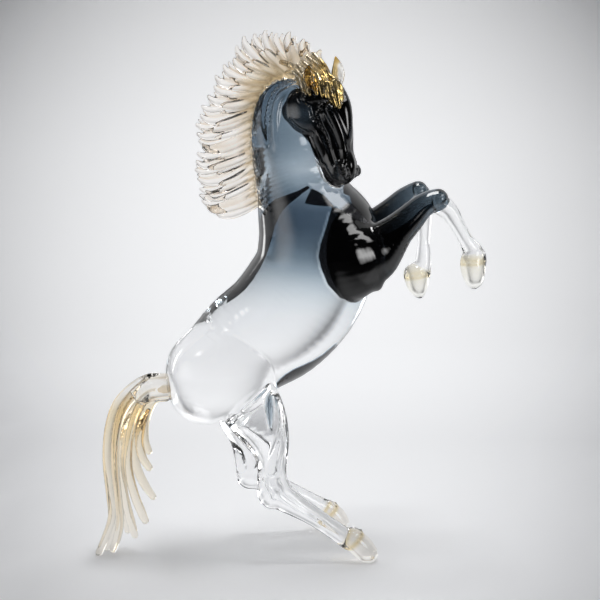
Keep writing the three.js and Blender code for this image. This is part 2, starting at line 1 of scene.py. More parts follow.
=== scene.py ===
# Rearing horse in hot-worked glass: the visual model and its studio.
import math
import bpy
import numpy as np
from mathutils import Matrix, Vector


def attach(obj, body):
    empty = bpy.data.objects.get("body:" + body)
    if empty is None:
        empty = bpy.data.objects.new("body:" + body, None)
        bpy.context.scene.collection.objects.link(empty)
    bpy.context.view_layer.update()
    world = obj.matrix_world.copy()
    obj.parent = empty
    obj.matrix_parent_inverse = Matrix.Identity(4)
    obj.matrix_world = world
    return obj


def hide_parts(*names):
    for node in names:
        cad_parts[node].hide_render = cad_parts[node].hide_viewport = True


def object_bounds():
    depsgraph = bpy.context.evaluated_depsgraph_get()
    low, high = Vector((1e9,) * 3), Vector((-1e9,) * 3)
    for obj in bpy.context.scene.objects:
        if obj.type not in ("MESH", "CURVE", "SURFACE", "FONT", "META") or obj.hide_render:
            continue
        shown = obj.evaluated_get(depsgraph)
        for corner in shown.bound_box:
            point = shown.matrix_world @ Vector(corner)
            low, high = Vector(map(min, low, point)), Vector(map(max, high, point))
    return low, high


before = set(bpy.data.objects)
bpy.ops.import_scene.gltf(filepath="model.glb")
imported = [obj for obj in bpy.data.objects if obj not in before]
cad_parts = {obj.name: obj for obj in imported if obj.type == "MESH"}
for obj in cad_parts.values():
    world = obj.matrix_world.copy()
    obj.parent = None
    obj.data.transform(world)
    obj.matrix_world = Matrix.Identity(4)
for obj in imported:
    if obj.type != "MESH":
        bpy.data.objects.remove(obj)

CAD_LO, CAD_HI = [list(v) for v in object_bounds()]

# Tables in millimetres, before the shift that puts the origin under the middle of the outline.
# A row is x, y, z, half depth in the bending plane, half width, taper.
SHIFT = (11.849, -1.223, 0.0)

TRUNK = [
  [-87.5, 0, 154.2, 30.9, 32],
  [-74.6, 0, 169.5, 42.8, 44, 0.05],
  [-46.1, 0, 196.5, 49.6, 46, 0.08],
  [-21.2, 0, 213.3, 53.3, 50, 0.08],
  [-0.9, 0, 235.9, 55.1, 53, 0.1],
  [12, 0, 260.4, 54.1, 54, 0.12],
  [16.5, 0, 288.7, 53.9, 53, 0.18],
  [6.8, 0, 315.1, 44.9, 46, 0.22],
  [-3.4, 0, 340.5, 36.6, 36, 0.3],
  [-11, -1, 365.8, 33.1, 29, 0.35],
  [-17.6, -3, 388.1, 27.6, 24, 0.35],
  [-16.2, -6, 407.6, 23.9, 20, 0.3],
  [-5, -9, 419, 19.4, 17, 0.2],
]

THIGH_RIGHT = [
  [-77.5, -20, 172, 41.2, 26],
  [-58.4, -26, 167.1, 39.3, 24],
  [-44, -32, 148.7, 27.7, 21],
  [-39, -35, 128.2, 23.7, 17],
  [-34, -37, 112.8, 19.2, 14.5],
  [-32.3, -38, 100.1, 15.2, 12.5],
  [-31.6, -39, 88.4, 13, 11.5],
  [-30.9, -40, 75.6, 12.6, 11],
]

THIGH_LEFT = [
  [-77.2, 20, 165.5, 40.6, 26],
  [-63.7, 26, 158.1, 37.2, 24],
  [-52.1, 30, 137.7, 29, 21],
  [-46.1, 34, 115.4, 22.6, 16],
  [-43.8, 38, 94.9, 16.1, 13.5],
  [-42.7, 40, 79.7, 13.3, 12],
  [-42.5, 42, 68.4, 12.4, 11],
  [-41.5, 43, 58.2, 11.9, 10.5],
]

CANNON_RIGHT = [
  [-32.8, -41, 68.6, 13, 10.5],
  [-22.1, -42, 61.9, 12.6, 9.5],
  [-9.5, -43, 53.2, 10.4, 9],
  [4, -44, 44.5, 8.8, 8.2],
  [17.6, -45, 34.7, 8.3, 8],
  [29.6, -45, 25.7, 8.6, 8.6],
  [36.9, -45.5, 20.3, 9.1, 9.6],
]

HOCK_RIGHT = [
  [-35.4, -40, 79.6, 8.1, 8],
  [-35.6, -41, 64.1, 7.2, 7.5],
  [-33.8, -41, 57.5, 5.4, 6],
]

CANNON_LEFT = [
  [-39.6, 43, 60.1, 11.9, 10],
  [-27.9, 44, 53.4, 11, 9.5],
  [-12.3, 45, 45.5, 9.6, 8.6],
  [3.4, 46, 37.5, 8.7, 8],
  [15.3, 47, 30.6, 8.3, 8],
  [27.2, 48, 23.7, 8.7, 8.6],
  [33.3, 49, 20.1, 9.2, 9.3],
]

HOCK_LEFT = [
  [-41.5, 42, 72.3, 8.1, 8],
  [-44.4, 43, 60.3, 7.6, 7.5],
  [-42.5, 43, 54.3, 5.7, 6],
]

SHOULDER_RIGHT = [
  [26.2, -27, 313, 12.4, 14],
  [31.3, -34, 295.9, 19.5, 20],
  [35.3, -37, 276.5, 24.3, 22],
  [39.2, -36, 260.2, 21.3, 20],
  [43.3, -34, 250.9, 13.4, 14],
]

SHOULDER_LEFT = [
  [32.3, 27, 311.3, 12.9, 14],
  [37.4, 34, 291.9, 20.5, 20],
  [40.9, 37, 270.8, 25.3, 22],
  [43.7, 36, 253.9, 22.5, 20],
  [47.2, 34, 244.6, 14.1, 14],
]

FOREARM_RIGHT = [
  [44.6, -36, 272.7, 28.4, 19],
  [58.8, -37, 279.6, 26.6, 17],
  [67.8, -37, 286.6, 22.2, 15],
  [80.4, -37, 298.9, 16, 13],
  [92.3, -36, 309.7, 13.3, 12],
  [103.3, -35, 320.2, 11.1, 11],
  [112.6, -34, 325.3, 10.1, 11],
  [119, -34, 327.4, 9.3, 10.5],
]

ELBOW_RIGHT = [
  [50.1, -36, 263.6, 16, 15],
  [59.4, -35, 255.2, 8, 9],
  [63.3, -34, 251.3, 4.9, 6],
]

FOREARM_LEFT = [
  [55, 36, 279.1, 26.2, 19],
  [68.5, 37, 285.4, 24.4, 17],
  [81.8, 37, 296.4, 18.8, 14.5],
  [94.1, 37, 309.4, 14.1, 13],
  [104.3, 36, 319.7, 12, 12],
  [112.9, 36, 326.1, 10.3, 10.5],
  [117.7, 36, 328.9, 9.4, 10],
]

HEAD = [
  [8.2, -13, 430.2, 19, 16.5, 0.12],
  [10.5, -15, 417, 27.5, 19.5, 0.12],
  [11.3, -15.7, 407.4, 31.5, 19.5, 0.12],
  [14.5, -18.6, 396.6, 31.5, 19, 0.12],
  [16.7, -20.6, 389.8, 27.5, 16.5, 0.12],
  [19.3, -22.9, 382, 24, 14, 0.12],
  [23.9, -27.1, 370.9, 18.6, 11.5, 0.12],
  [26.3, -29.2, 364.5, 16.5, 10.5, 0.12],
  [29.2, -31.9, 356.8, 15.3, 10.3, 0.12],
  [30.3, -32.8, 351.2, 15.4, 10.8, 0.12],
  [29.9, -32.5, 345.1, 13.5, 10, 0.12],
]

LEG_RIGHT = [
  [120.9, -34, 322.9, 9.4, 9],
  [129.5, -33, 316.5, 8.3, 8],
  [135.8, -32, 307.3, 6.9, 7],
  [141.9, -31, 297.5, 6.3, 6.5],
  [147.2, -30, 288.5, 6.5, 6.5],
  [153, -29, 279.8, 8.8, 8],
  [155.5, -29, 273.6, 10.1, 9.5],
  [156, -29, 269.5, 9.5, 9],
]

LEG_LEFT = [
  [120.6, 36, 327, 8.4, 8.5],
  [123.7, 36, 309.1, 7.1, 7.5],
  [123.4, 36, 290.2, 6.2, 6.5],
  [123.2, 35, 278.9, 5.8, 6.2],
  [123.3, 34, 268.6, 7.1, 7.5],
  [122.2, 33, 258.3, 8.3, 8.5],
  [121.3, 33, 252.6, 8.5, 8.5],
]

HOOF_FORE_RIGHT = [
  [155.3, -29, 269.5, 10.4, 10.5],
  [155.7, -29, 262.2, 10, 11],
  [156.8, -29, 253.9, 7.7, 9.5],
  [156.9, -29, 249.3, 4.5, 6],
]

HOOF_FORE_LEFT = [
  [118.5, 33, 249.8, 11.3, 10.5],
  [119.1, 33, 242.1, 9.4, 10.5],
  [120.6, 33, 234.5, 6.1, 8.5],
  [121.6, 33, 230.6, 3.4, 5],
]

HOOF_HIND_RIGHT = [
  [40.9, -46, 21.2, 10.4, 11.2],
  [48.8, -46, 13.7, 10.7, 12],
  [54.7, -46, 7.4, 9.6, 12],
]

HOOF_HIND_LEFT = [
  [35.3, 49, 19, 9.7, 10],
  [42.4, 50, 12.3, 10.2, 11.5],
  [46.4, 50, 7.1, 9.7, 12],
]

EAR_RIGHT = [
  [8.3, -34.5, 424.4, 3.7, 3.8],
  [5, -34.9, 429.5, 5.7, 3.5],
  [2.8, -35.4, 434.6, 6, 3.2],
  [1.9, -36.1, 439.6, 4.2, 2.6],
  [1.9, -36.7, 443.2, 1.8, 1.6],
  [2, -37, 444.7, 0.8, 1],
]

EAR_LEFT = [
  [29.7, -10.8, 424.4, 3.7, 3.8],
  [31.9, -8.6, 431.4, 5.7, 3.5],
  [33.1, -6.3, 438.4, 6, 3.2],
  [33, -3.7, 445.3, 4.2, 2.6],
  [32.2, -1.8, 450.3, 1.8, 1.6],
  [31.8, -1, 452.3, 0.8, 1],
]

MANE = [
  [25, -12, 425.1, 12.3, -12, 458.2],
  [19.7, -11.4, 428.6, 3.5, -11.4, 464.3],
  [14.4, -10.8, 431.2, -2.6, -10.8, 467.7],
  [8.2, -10.2, 433, -8.7, -10.2, 470.3],
  [2.9, -9.6, 433.9, -14.8, -9.6, 474.6],
  [-1.4, -9, 434.7, -25.4, -9, 472.8],
  [-5.8, -8.5, 436.5, -35.9, -8.5, 475.4],
  [-11.1, -7.9, 437.4, -44.7, -7.9, 471.5],
  [-15.5, -7.4, 437.4, -55.2, -7.4, 469.3],
  [-20.7, -6.9, 436.5, -60.4, -6.9, 459.8],
  [-26, -6.4, 433.9, -63.1, -6.4, 448.6],
  [-30.4, -5.9, 430.4, -71, -5.9, 443.4],
  [-33.9, -5.4, 426.9, -79, -5.4, 433],
  [-37, -4.9, 422.5, -78.6, -4.9, 423.5],
  [-39.2, -4.5, 418.2, -85.2, -4.5, 415.7],
  [-41.4, -4, 412.9, -89.7, -4, 406.1],
  [-43.6, -3.6, 406.8, -91.5, -3.6, 398.2],
  [-44.9, -3.2, 400.6, -94.7, -3.2, 390.3],
  [-45.8, -2.8, 394.4, -94.3, -2.8, 382.4],
  [-46.2, -2.4, 388.3, -91.7, -2.4, 375.4],
  [-46.6, -2.1, 382.1, -89, -2.1, 370],
  [-46.4, -1.7, 376.7, -93.5, -1.7, 364.8],
  [-46.2, -1.4, 370.5, -95.3, -1.4, 357.7],
  [-45.5, -1.1, 364.3, -95.4, -1.1, 349.7],
  [-44.4, -0.9, 358, -93.7, -0.9, 342.6],
  [-43.5, -0.6, 350.9, -91.1, -0.6, 332.8],
  [-42.6, -0.4, 343.7, -92, -0.4, 327.4],
  [-42, -0.2, 336.6, -89.4, -0.2, 322],
  [-41.5, -0.1, 329.4, -85, -0.1, 316.6],
  [-40.9, 0, 323.1, -77.8, 0, 312.9],
]

TAIL_ROOT = [
  [-117.5, 0, 158, 11.8, 12],
  [-125.6, 0, 157.8, 12.2, 12.5],
  [-135.6, 0, 155.8, 11.8, 11],
  [-143.7, 0, 151.5, 9.9, 9],
]

TAIL = [
  [[-122.8, -0.3, 164.7], [-137.2, 0.4, 166], [-152.6, 1.2, 158], [-167.2, 2, 142.6], [-174.8, 2.8, 118.6], [-177.2, 3.5, 90.5], [-175.1, 4.3, 60], [-173.7, 5.2, 36.9], [-179.5, 6.1, 17.9], [-187, 7, 0.6]],
  [[-123, -1.8, 161.3], [-137.3, -1.4, 161.8], [-150, -1.1, 153.8], [-162, -0.8, 138.5], [-168.7, -0.4, 115.4], [-170.2, -0.1, 86.5], [-168, 0.3, 56.2], [-166.6, 1.2, 34], [-169.6, 2.1, 17.7], [-173.5, 3, 7.1]],
  [[-122.8, 1, 157], [-136.3, 2.4, 156.3], [-147.2, 3.8, 148], [-156.4, 5.2, 133.1], [-162.2, 6.5, 110.6], [-164.6, 7.9, 81.2], [-161.4, 9, 52.3], [-156.3, 10, 28.9], [-152.9, 11, 14.9]],
  [[-123, -1.4, 154.8], [-135.6, -0.9, 154.2], [-144.7, -0.4, 146.1], [-152.2, 0.1, 131.4], [-157.1, 0.6, 109.1], [-158.4, 1.1, 84.7], [-153.4, 2, 59.7], [-147.3, 3, 42], [-143.7, 4, 33]],
  [[-122.9, 0.7, 151.5], [-134.6, 2.1, 150.7], [-141.9, 3.6, 142.3], [-148.4, 5, 128.2], [-152.3, 6.4, 107.4], [-151.7, 7.7, 86.4], [-144.7, 8.9, 66.8], [-135.7, 10, 51.8]],
  [[-123.1, -1.4, 150.2], [-133.9, -0.7, 148.5], [-140.3, -0.1, 140.3], [-145, 0.6, 127.3], [-148, 1.3, 108.6], [-145.5, 2.7, 93.1], [-139.2, 4, 82.1]],
  [[-123, 0.7, 147.8], [-132.8, 2.7, 145.9], [-138.3, 4.7, 136.3], [-142.1, 6.7, 122], [-142.3, 8.4, 106.5], [-138.7, 10, 94.6]],
  [[-122.7, 3.2, 155.6], [-136.2, 5.3, 155.6], [-148, 7.4, 147.2], [-159, 9.5, 132.2], [-165.7, 11.7, 109.5], [-168, 13.8, 79.7], [-165.8, 15, 50.7], [-160.7, 16, 29.1], [-159, 17, 17.1]],
  [[-122.7, 2.5, 159.5], [-137.1, 4.1, 159.6], [-149.8, 5.8, 151.4], [-160.8, 7.5, 135.6], [-167.5, 9.1, 113], [-171.7, 10.8, 83.6], [-170.4, 12.3, 52.7], [-169.9, 13.2, 30.4], [-174.9, 14.1, 11.2], [-178.7, 15, 2.4]],
]

FORELOCK = [
  [[11.7, -16, 432.1, 4.8, 4.7], [18.9, -16, 428.7, 4.8, 4.7], [25.2, -16, 421.7, 4.9, 4.7], [29.7, -16, 412, 2.7, 2.6]],
  [[14.5, -10, 432.1, 4.4, 4.2], [23.5, -10, 430.4, 4.4, 4.2], [30.7, -10, 423.3, 4.4, 4.2], [33.5, -10, 414.5, 2.4, 2.3]],
  [[8.1, -27, 432.2, 3.9, 3.8], [11.6, -27, 427, 3.9, 3.8], [13.4, -27, 421, 3.9, 3.8], [15.2, -27, 415.8, 2.2, 2.1]],
  [[5.8, -30, 432.2, 3.7, 3.6], [5.8, -30, 427.1, 3.7, 3.6], [6.7, -30, 421.9, 3.7, 3.6], [9.4, -30, 417.6, 2, 2]],
  [[10.7, -22, 433.1, 4.2, 4.1], [16, -22, 429.6, 4.2, 4.1], [19.6, -22, 423.5, 4.2, 4.1], [22.3, -22, 415.7, 2.3, 2.2]],
]

# ---- implicit surfaces: tubes with changing oval sections, balls, smooth joins and cuts, and a polygoniser

BIG = 1e3


def spline(rows, sub):
    """Catmull-Rom through the rows of a station table."""
    r = np.asarray(rows, float)
    p = np.vstack([2 * r[0] - r[1], r, 2 * r[-1] - r[-2]])
    out = []
    for i in range(1, len(p) - 2):
        a, b, c, d = p[i - 1], p[i], p[i + 1], p[i + 2]
        for j in range(sub):
            t = j / sub
            out.append(0.5 * (2 * b + (c - a) * t + (2 * a - 5 * b + 4 * c - d) * t * t + (3 * b - a - 3 * c + d) * t ** 3))
    out.append(r[-1])
    return np.array(out)


def smin(a, b, k):
    h = np.maximum(k - np.abs(a - b), 0) / k
    return np.minimum(a, b) - h * h * k * 0.25


def smax(a, b, k):
    h = np.maximum(k - np.abs(a - b), 0) / k
    return np.maximum(a, b) + h * h * k * 0.25


class Tube:
    """stations: x, y, z, a (half depth in the bending plane), b (half width along side), tau (how much narrower towards +n)."""

    def __init__(self, stations, side=(0, 1, 0), sub=4, join=0.0):
        st = [list(s) + [0.0] * (6 - len(s)) for s in stations]
        self.s = spline(st, sub)
        self.s[:, 3:5] = np.maximum(self.s[:, 3:5], 0.4)
        self.join = join
        sd = np.asarray(side, float)
        self.side = sd / np.linalg.norm(sd)
        r = self.s[:, 3:5].max(1)[:, None]
        self.lo, self.hi = (self.s[:, :3] - r).min(0), (self.s[:, :3] + r).max(0)

    def measure(self, p):
        best = np.full(len(p), BIG)
        S = self.s
        for i in range(len(S) - 1):
            A, B = S[i], S[i + 1]
            ab = B[:3] - A[:3]
            L = np.linalg.norm(ab)
            if L < 1e-9:
                continue
            T = ab / L
            side = self.side - T * (self.side @ T)
            side /= np.linalg.norm(side)
            N = np.cross(T, side)
            d0 = p - A[:3]
            t = np.clip(d0 @ T / L, 0, 1)
            a = A[3] + (B[3] - A[3]) * t
            b = A[4] + (B[4] - A[4]) * t
            tau = A[5] + (B[5] - A[5]) * t
            dt = d0 @ T - t * L
            dn = d0 @ N
            ds = d0 @ side
            w = np.clip(dn / a, -1, 1)
            e = np.minimum(a, b)
            q = np.sqrt((dn / a) ** 2 + (ds / (b * (1 - tau * w))) ** 2 + (dt / e) ** 2)
            best = np.minimum(best, (q - 1) * e)
        return best


class Ball:
    def __init__(self, c, r, axes=None):
        self.c = np.asarray(c, float)
        self.r = np.asarray(r, float)
        self.ax = np.eye(3) if axes is None else np.array([np.asarray(v, float) / np.linalg.norm(v) for v in axes])
        m = self.r.max()
        self.lo, self.hi = self.c - m, self.c + m

    def measure(self, p):
        d = (p - self.c) @ self.ax.T
        k = np.linalg.norm(d / self.r, axis=1)
        k2 = np.linalg.norm(d / self.r ** 2, axis=1)
        return np.where(k2 > 1e-9, k * (k - 1) / np.maximum(k2, 1e-9), -self.r.min())


class Shape:
    """A list of (op, k, primitive); op is + (join), - (cut)."""

    def __init__(self, items):
        self.items = items
        adds = [i for i in items if i[0] == "+"]
        self.lo = np.min([i[2].lo for i in adds], 0)
        self.hi = np.max([i[2].hi for i in adds], 0)

    def measure(self, p):
        f = np.full(len(p), BIG)
        for op, k, pr in self.items:
            m = k + 9.0
            idx = np.nonzero(((p > pr.lo - m) & (p < pr.hi + m)).all(1))[0]
            if not len(idx):
                continue
            g = pr.measure(p[idx])
            if op == "+":
                f[idx] = smin(f[idx], g, k)
            else:
                f[idx] = smax(f[idx], -g, k)
        return f

    def grad(self, p, f, e=0.06):
        g = np.empty_like(p)
        for i in range(3):
            q = p.copy()
            q[:, i] += e
            g[:, i] = (self.measure(q) - f) / e
        return g


def mesh(shape, h, coarse=4, lo=None, hi=None, snap=2, floor=None, pad=3.0):
    """Surface nets on a grid of spacing h, evaluated only near the surface, then pulled onto it."""
    lo = np.asarray(shape.lo if lo is None else lo, float) - pad
    hi = np.asarray(shape.hi if hi is None else hi, float) + pad
    H = h * coarse
    nc = np.ceil((hi - lo) / H).astype(int) + 1
    ax = [lo[i] + H * np.arange(nc[i]) for i in range(3)]
    P = np.stack(np.meshgrid(*ax, indexing="ij"), -1).reshape(-1, 3)
    fc = shape.measure(P).reshape(nc)
    near = np.abs(fc) < H * 2.4
    cell = np.zeros(nc - 1, bool)
    for i in (0, 1):
        for j in (0, 1):
            for k in (0, 1):
                cell |= near[i:nc[0] - 1 + i, j:nc[1] - 1 + j, k:nc[2] - 1 + k]
    nf = (nc - 1) * coarse + 1
    F = np.repeat(np.repeat(np.repeat(fc[:-1, :-1, :-1], coarse, 0), coarse, 1), coarse, 2)
    F = np.pad(F, ((0, 1),) * 3, mode="edge").astype(np.float32)
    ci = np.argwhere(cell)
    o = np.arange(coarse + 1)
    off = np.stack(np.meshgrid(o, o, o, indexing="ij"), -1).reshape(-1, 3)
    todo = np.zeros(nf, bool)
    for a in off:
        q = ci * coarse + a
        todo[q[:, 0], q[:, 1], q[:, 2]] = True
    ti = np.argwhere(todo)
    vals = np.empty(len(ti), np.float32)
    for s in range(0, len(ti), 400000):
        vals[s:s + 400000] = shape.measure(lo + ti[s:s + 400000] * h)
    F[ti[:, 0], ti[:, 1], ti[:, 2]] = vals
    S = F < 0
    mixed = np.zeros(nf - 1, bool)
    first = S[:-1, :-1, :-1]
    for i in (0, 1):
        for j in (0, 1):
            for k in (0, 1):
                mixed |= S[i:nf[0] - 1 + i, j:nf[1] - 1 + j, k:nf[2] - 1 + k] != first
    ai = np.argwhere(mixed)
    index = np.full(nf - 1, -1, np.int64)
    index[ai[:, 0], ai[:, 1], ai[:, 2]] = np.arange(len(ai))
    pos, cnt = np.zeros((len(ai), 3)), np.zeros(len(ai))
    corners = [(i, j, k) for i in (0, 1) for j in (0, 1) for k in (0, 1)]
    for c in corners:
        for axis in range(3):
            if c[axis]:
                continue
            d = list(c); d[axis] = 1
            A, B = ai + np.array(c), ai + np.array(d)
            fa = F[A[:, 0], A[:, 1], A[:, 2]]
            fb = F[B[:, 0], B[:, 1], B[:, 2]]
            hit = (fa < 0) != (fb < 0)
            t = np.where(hit, fa / np.where(hit, fa - fb, 1), 0)
            q = A + (B - A) * t[:, None]
            pos[hit] += q[hit]
            cnt[hit] += 1
    V = lo + pos / cnt[:, None] * h
    quads = []
    for axis in range(3):
        u, v = [(1, 2), (2, 0), (0, 1)][axis]
        sl0 = [slice(None)] * 3; sl1 = [slice(None)] * 3
        sl0[axis] = slice(0, nf[axis] - 1); sl1[axis] = slice(1, nf[axis])
        s0, s1 = S[tuple(sl0)], S[tuple(sl1)]
        e = np.argwhere(s0 != s1)
        e = e[(e[:, u] > 0) & (e[:, v] > 0) & (e[:, u] < nf[u] - 1) & (e[:, v] < nf[v] - 1)]
        du, dv = np.zeros(3, int), np.zeros(3, int)
        du[u] = 1; dv[v] = 1
        def at(q):
            return index[q[:, 0], q[:, 1], q[:, 2]]
        q = np.stack([at(e - du - dv), at(e - dv), at(e), at(e - du)], 1)
        inside_first = s0[e[:, 0], e[:, 1], e[:, 2]]
        q[~inside_first] = q[~inside_first][:, ::-1]
        quads.append(q)
    Q = np.vstack(quads)
    for _ in range(snap):
        V = settle(shape, V, h)
    return V, Q


def settle(shape, V, h):
    f = shape.measure(V)
    g = shape.grad(V, f)
    n2 = np.maximum((g * g).sum(1), 0.05)
    step = -(f / n2)[:, None] * g
    L = np.linalg.norm(step, axis=1)
    cap = h * 0.75
    return V + step * np.minimum(1, cap / np.maximum(L, 1e-9))[:, None]


def smooth(V, Q, times=1, amount=0.5):
    """Moves each point towards the mean of its neighbours."""
    n = len(V)
    e = np.vstack([Q[:, [0, 1]], Q[:, [1, 2]], Q[:, [2, 3]], Q[:, [3, 0]]])
    for _ in range(times):
        acc = np.zeros_like(V); c = np.zeros(n)
        for i in range(3):
            acc[:, i] = np.bincount(e[:, 0], V[e[:, 1], i], n) + np.bincount(e[:, 1], V[e[:, 0], i], n)
        c = np.bincount(e[:, 0], minlength=n) + np.bincount(e[:, 1], minlength=n)
        V = V + (acc / np.maximum(c, 1)[:, None] - V) * amount
    return V


class Below:
    """The half space under a level."""

    def __init__(self, z):
        self.z, self.lo, self.hi = z, np.full(3, -1e6), np.full(3, 1e6)

    def measure(self, p):
        return p[:, 2] - self.z


class Half:
    """The half space on the side that n points to."""

    def __init__(self, c, n):
        self.c, self.n = np.asarray(c, float), np.asarray(n, float) / np.linalg.norm(n)
        self.lo, self.hi = np.full(3, -1e6), np.full(3, 1e6)

    def measure(self, p):
        return -(p - self.c) @ self.n


class Pad:
    """A fuller ellipsoid: exponent p over 2 squares its shoulders."""

    def __init__(self, c, r, p=3.0, axes=None):
        self.c, self.r, self.p = np.asarray(c, float), np.asarray(r, float), p
        self.ax = np.eye(3) if axes is None else np.array([np.asarray(v, float) / np.linalg.norm(v) for v in axes])
        m = self.r.max() * 1.15
        self.lo, self.hi = self.c - m, self.c + m

    def measure(self, pts):
        d = np.abs((pts - self.c) @ self.ax.T) / self.r + 1e-6
        q = (d ** self.p).sum(1) ** (1 / self.p)
        g = np.sqrt(((d ** (self.p - 1) / self.r) ** 2).sum(1)) / q ** (self.p - 1)
        return (q - 1) / g


def tube(rows, sub=4, side=(0, 1, 0)):
    return Tube(rows, side=side, sub=sub)


# ---- the photograph's camera, in the same millimetres
AZ, DIST, CAM_Z, AIM_Z, FOCAL = math.radians(-9.0), 1315.0, 440.0, 234.0, 1444.0
ELEV = math.asin((CAM_Z - AIM_Z) / DIST)
BACK = np.array([math.sin(AZ) * math.cos(ELEV), -math.cos(AZ) * math.cos(ELEV), math.sin(ELEV)])
AIM = np.array([0, 0, AIM_Z])
EYE = AIM + DIST * BACK
RIGHT = np.array([math.cos(AZ), math.sin(AZ), 0.0])
UP = np.cross(RIGHT, -BACK)


def ray(u, v):
    d = -BACK * FOCAL + RIGHT * (u - 300) + UP * (300 - v)
    return d / np.linalg.norm(d)


def on_plane(u, v, y):
    """The point of the plane at depth y that lies on the line of sight through u, v."""
    d = ray(u, v)
    return EYE + d * ((y - EYE[1]) / d[1])


def cast(shape, u, v, y0=-120.0):
    """Where the line of sight through u, v first meets the shape."""
    d = ray(u, v)
    t = (y0 - EYE[1]) / d[1]
    for _ in range(90):
        f = float(shape.measure((EYE + d * t)[None])[0])
        if f < 0.05:
            break
        t += min(max(f * 0.7, 0.1), 6.0)
    return EYE + d * t


def cast_y(shape, x, z, side):
    """Where a line across the horse at x, z first meets the shape, from the side given."""
    y = side * 110.0
    for _ in range(120):
        f = float(shape.measure(np.array([[x, y, z]]))[0])
        if f < 0.05:
            break
        y -= side * min(max(f * 0.7, 0.1), 6.0)
    return np.array([x, y, z])


def path(points, radii, flat=1.0):
    """A station table along points; radii is one number or one for each point."""
    n = len(points)
    r = np.broadcast_to(radii, n) if np.ndim(radii) == 0 else np.interp(np.linspace(0, 1, n), np.linspace(0, 1, len(radii)), radii)
    return [[*p, float(q), float(q) * flat] for p, q in zip(points, r)]


HEAD_M = np.array([0.2296, -0.2068, -0.9511])
HEAD_F = np.array([0.7068, -0.6364, 0.309])
HEAD_L = np.array([0.6691, 0.7431, 0.0])
HEAD_O = np.array([9.4, -14.0, 428.7])


def on_head(p, q, r=0.0):
    return HEAD_O + HEAD_M * p + HEAD_F * q + HEAD_L * r


def mirror_head(p):
    return p - 2 * HEAD_L * np.dot(p - HEAD_O, HEAD_L)


# ---- body
def px(u, v, y, a, b, tau=0.0):
    """A station from the photograph: pixel, depth, half depth in pixels, half width in millimetres."""
    p = on_plane(u, v, y)
    return [*p, a * float((p - EYE) @ -BACK) / FOCAL, b, tau]


THROAT = [[-17.6, -2, 388.1, 27.6, 21, 0.3], [-16.2, -4, 407.6, 23.9, 16, 0.2], [-6.5, -6, 417.5, 18.4, 13, 0.1]]
trunk = tube([[*r[:5], 0.25 * (r + [0])[5]] for r in TRUNK[:-3] + THROAT], 5)


def haunch(u, v, y, dx):
    """A full pad whose lower front is cut off along the slanting crease above the thigh."""
    p, q = on_plane(216 + dx, 429, y), on_plane(271 + dx, 381, y)
    d = q - p
    return Shape([("+", 1, Pad(on_plane(u, v, y * 0.36), (47.5, 35.5, 43.5), 2.3)), ("-", 9, Half(p, (-d[2], 0, d[0]) if d[0] < 0 else (d[2], 0, -d[0])))])


haunch_right = haunch(222.5, 377, -44, 0)
haunch_left = haunch(218, 374, 44, -6)
gaskin_right = tube([px(245, 398, -30, 31, 19), px(253, 409, -33, 30.5, 19.5), px(262, 426, -35.5, 26.5, 17.5), px(268.5, 442, -37, 21, 14.5),
                     px(271, 455, -38, 17, 12.5), px(272, 468, -39, 14.5, 11.5), px(273, 482, -40, 14, 11)], 5)
gaskin_left = tube([px(226, 392, 29, 26, 17), px(236, 404, 32, 25, 18), px(244, 423, 34, 21.5, 16), px(247, 440, 38, 16.5, 13.5),
                    px(248, 455, 40, 14, 12), px(249, 466, 42, 13, 11), px(250, 476, 43, 12.5, 10.5)], 5)
shoulders = [("+", 3, tube(SHOULDER_RIGHT)), ("+", 3, tube(SHOULDER_LEFT))]
arms = [("+", 7, tube(FOREARM_RIGHT)), ("+", 6, tube(ELBOW_RIGHT, 3)), ("+", 7, tube(FOREARM_LEFT))]
hind_hooves = [("+", 1.6, tube(HOOF_HIND_RIGHT)), ("+", 1.6, tube(HOOF_HIND_LEFT))]
base = [
    ("+", 1, trunk),
    ("+", 10, haunch_right), ("+", 10, haunch_left),
    ("+", 2.0, gaskin_right), ("+", 2.0, gaskin_left),
    ("+", 6, tube(CANNON_RIGHT)), ("+", 5, tube(HOCK_RIGHT, 3)),
    ("+", 6, tube(CANNON_LEFT)), ("+", 5, tube(HOCK_LEFT, 3)),
    ("+", 14, Ball((42.5, 0, 299), (22.5, 30, 28))),
] + shoulders + arms + hind_hooves
limbs = Shape([("+", 1, shoulders[0][2])] + shoulders[1:] + arms)
trunk_only = Shape([("+", 1, trunk), ("+", 14, base[9][2])])


def head_rows(rows):
    """Stations down the face: distance down, forward offset, half depth, half width."""
    return [[*on_head(p, q), a, b, t] for p, q, a, b, t in rows]


head = [("+", 4, tube(head_rows([(11, 6.0, 21.0, 14.5, 0.1), (25, 6.8, 24.0, 15.5, 0.1), (40, 4.5, 23.5, 14.0, 0.12), (52, 1.9, 21.8, 12.4, 0.15),
                                 (65, 2.2, 17.3, 10.6, 0.15), (75, 3.4, 16.8, 10.8, 0.1), (82.5, 1.9, 15.8, 10.6, 0.1)]), 5, side=HEAD_L))]
AX = (HEAD_M, HEAD_F, HEAD_L)
for s in (-1, 1):
    head += [
        ("+", 3.5, Pad(on_head(21.5, -13, s * 11.5), (19.5, 18.3, 11.2), 2.2, AX)),
        ("+", 3.5, Ball(on_head(12, 2, s * 13), (6, 12, 5), (HEAD_M + 0.35 * HEAD_F, HEAD_F - 0.35 * HEAD_M, HEAD_L))),
        ("+", 3, Ball(on_head(82, 10, s * 8.0), (8, 6.5, 5), AX)),
    ]
head += [("+", 5, Ball(on_head(86, -8), (9, 7, 8), AX))]
rough = Shape(base + head)
only_head = Shape([("+", 1, head[0][2])] + head[1:])

detail = []


def struck(shape, p):
    """Whether a line of sight that ended at p met the shape there."""
    return abs(float(shape.measure(np.asarray(p)[None])[0])) < 1.0


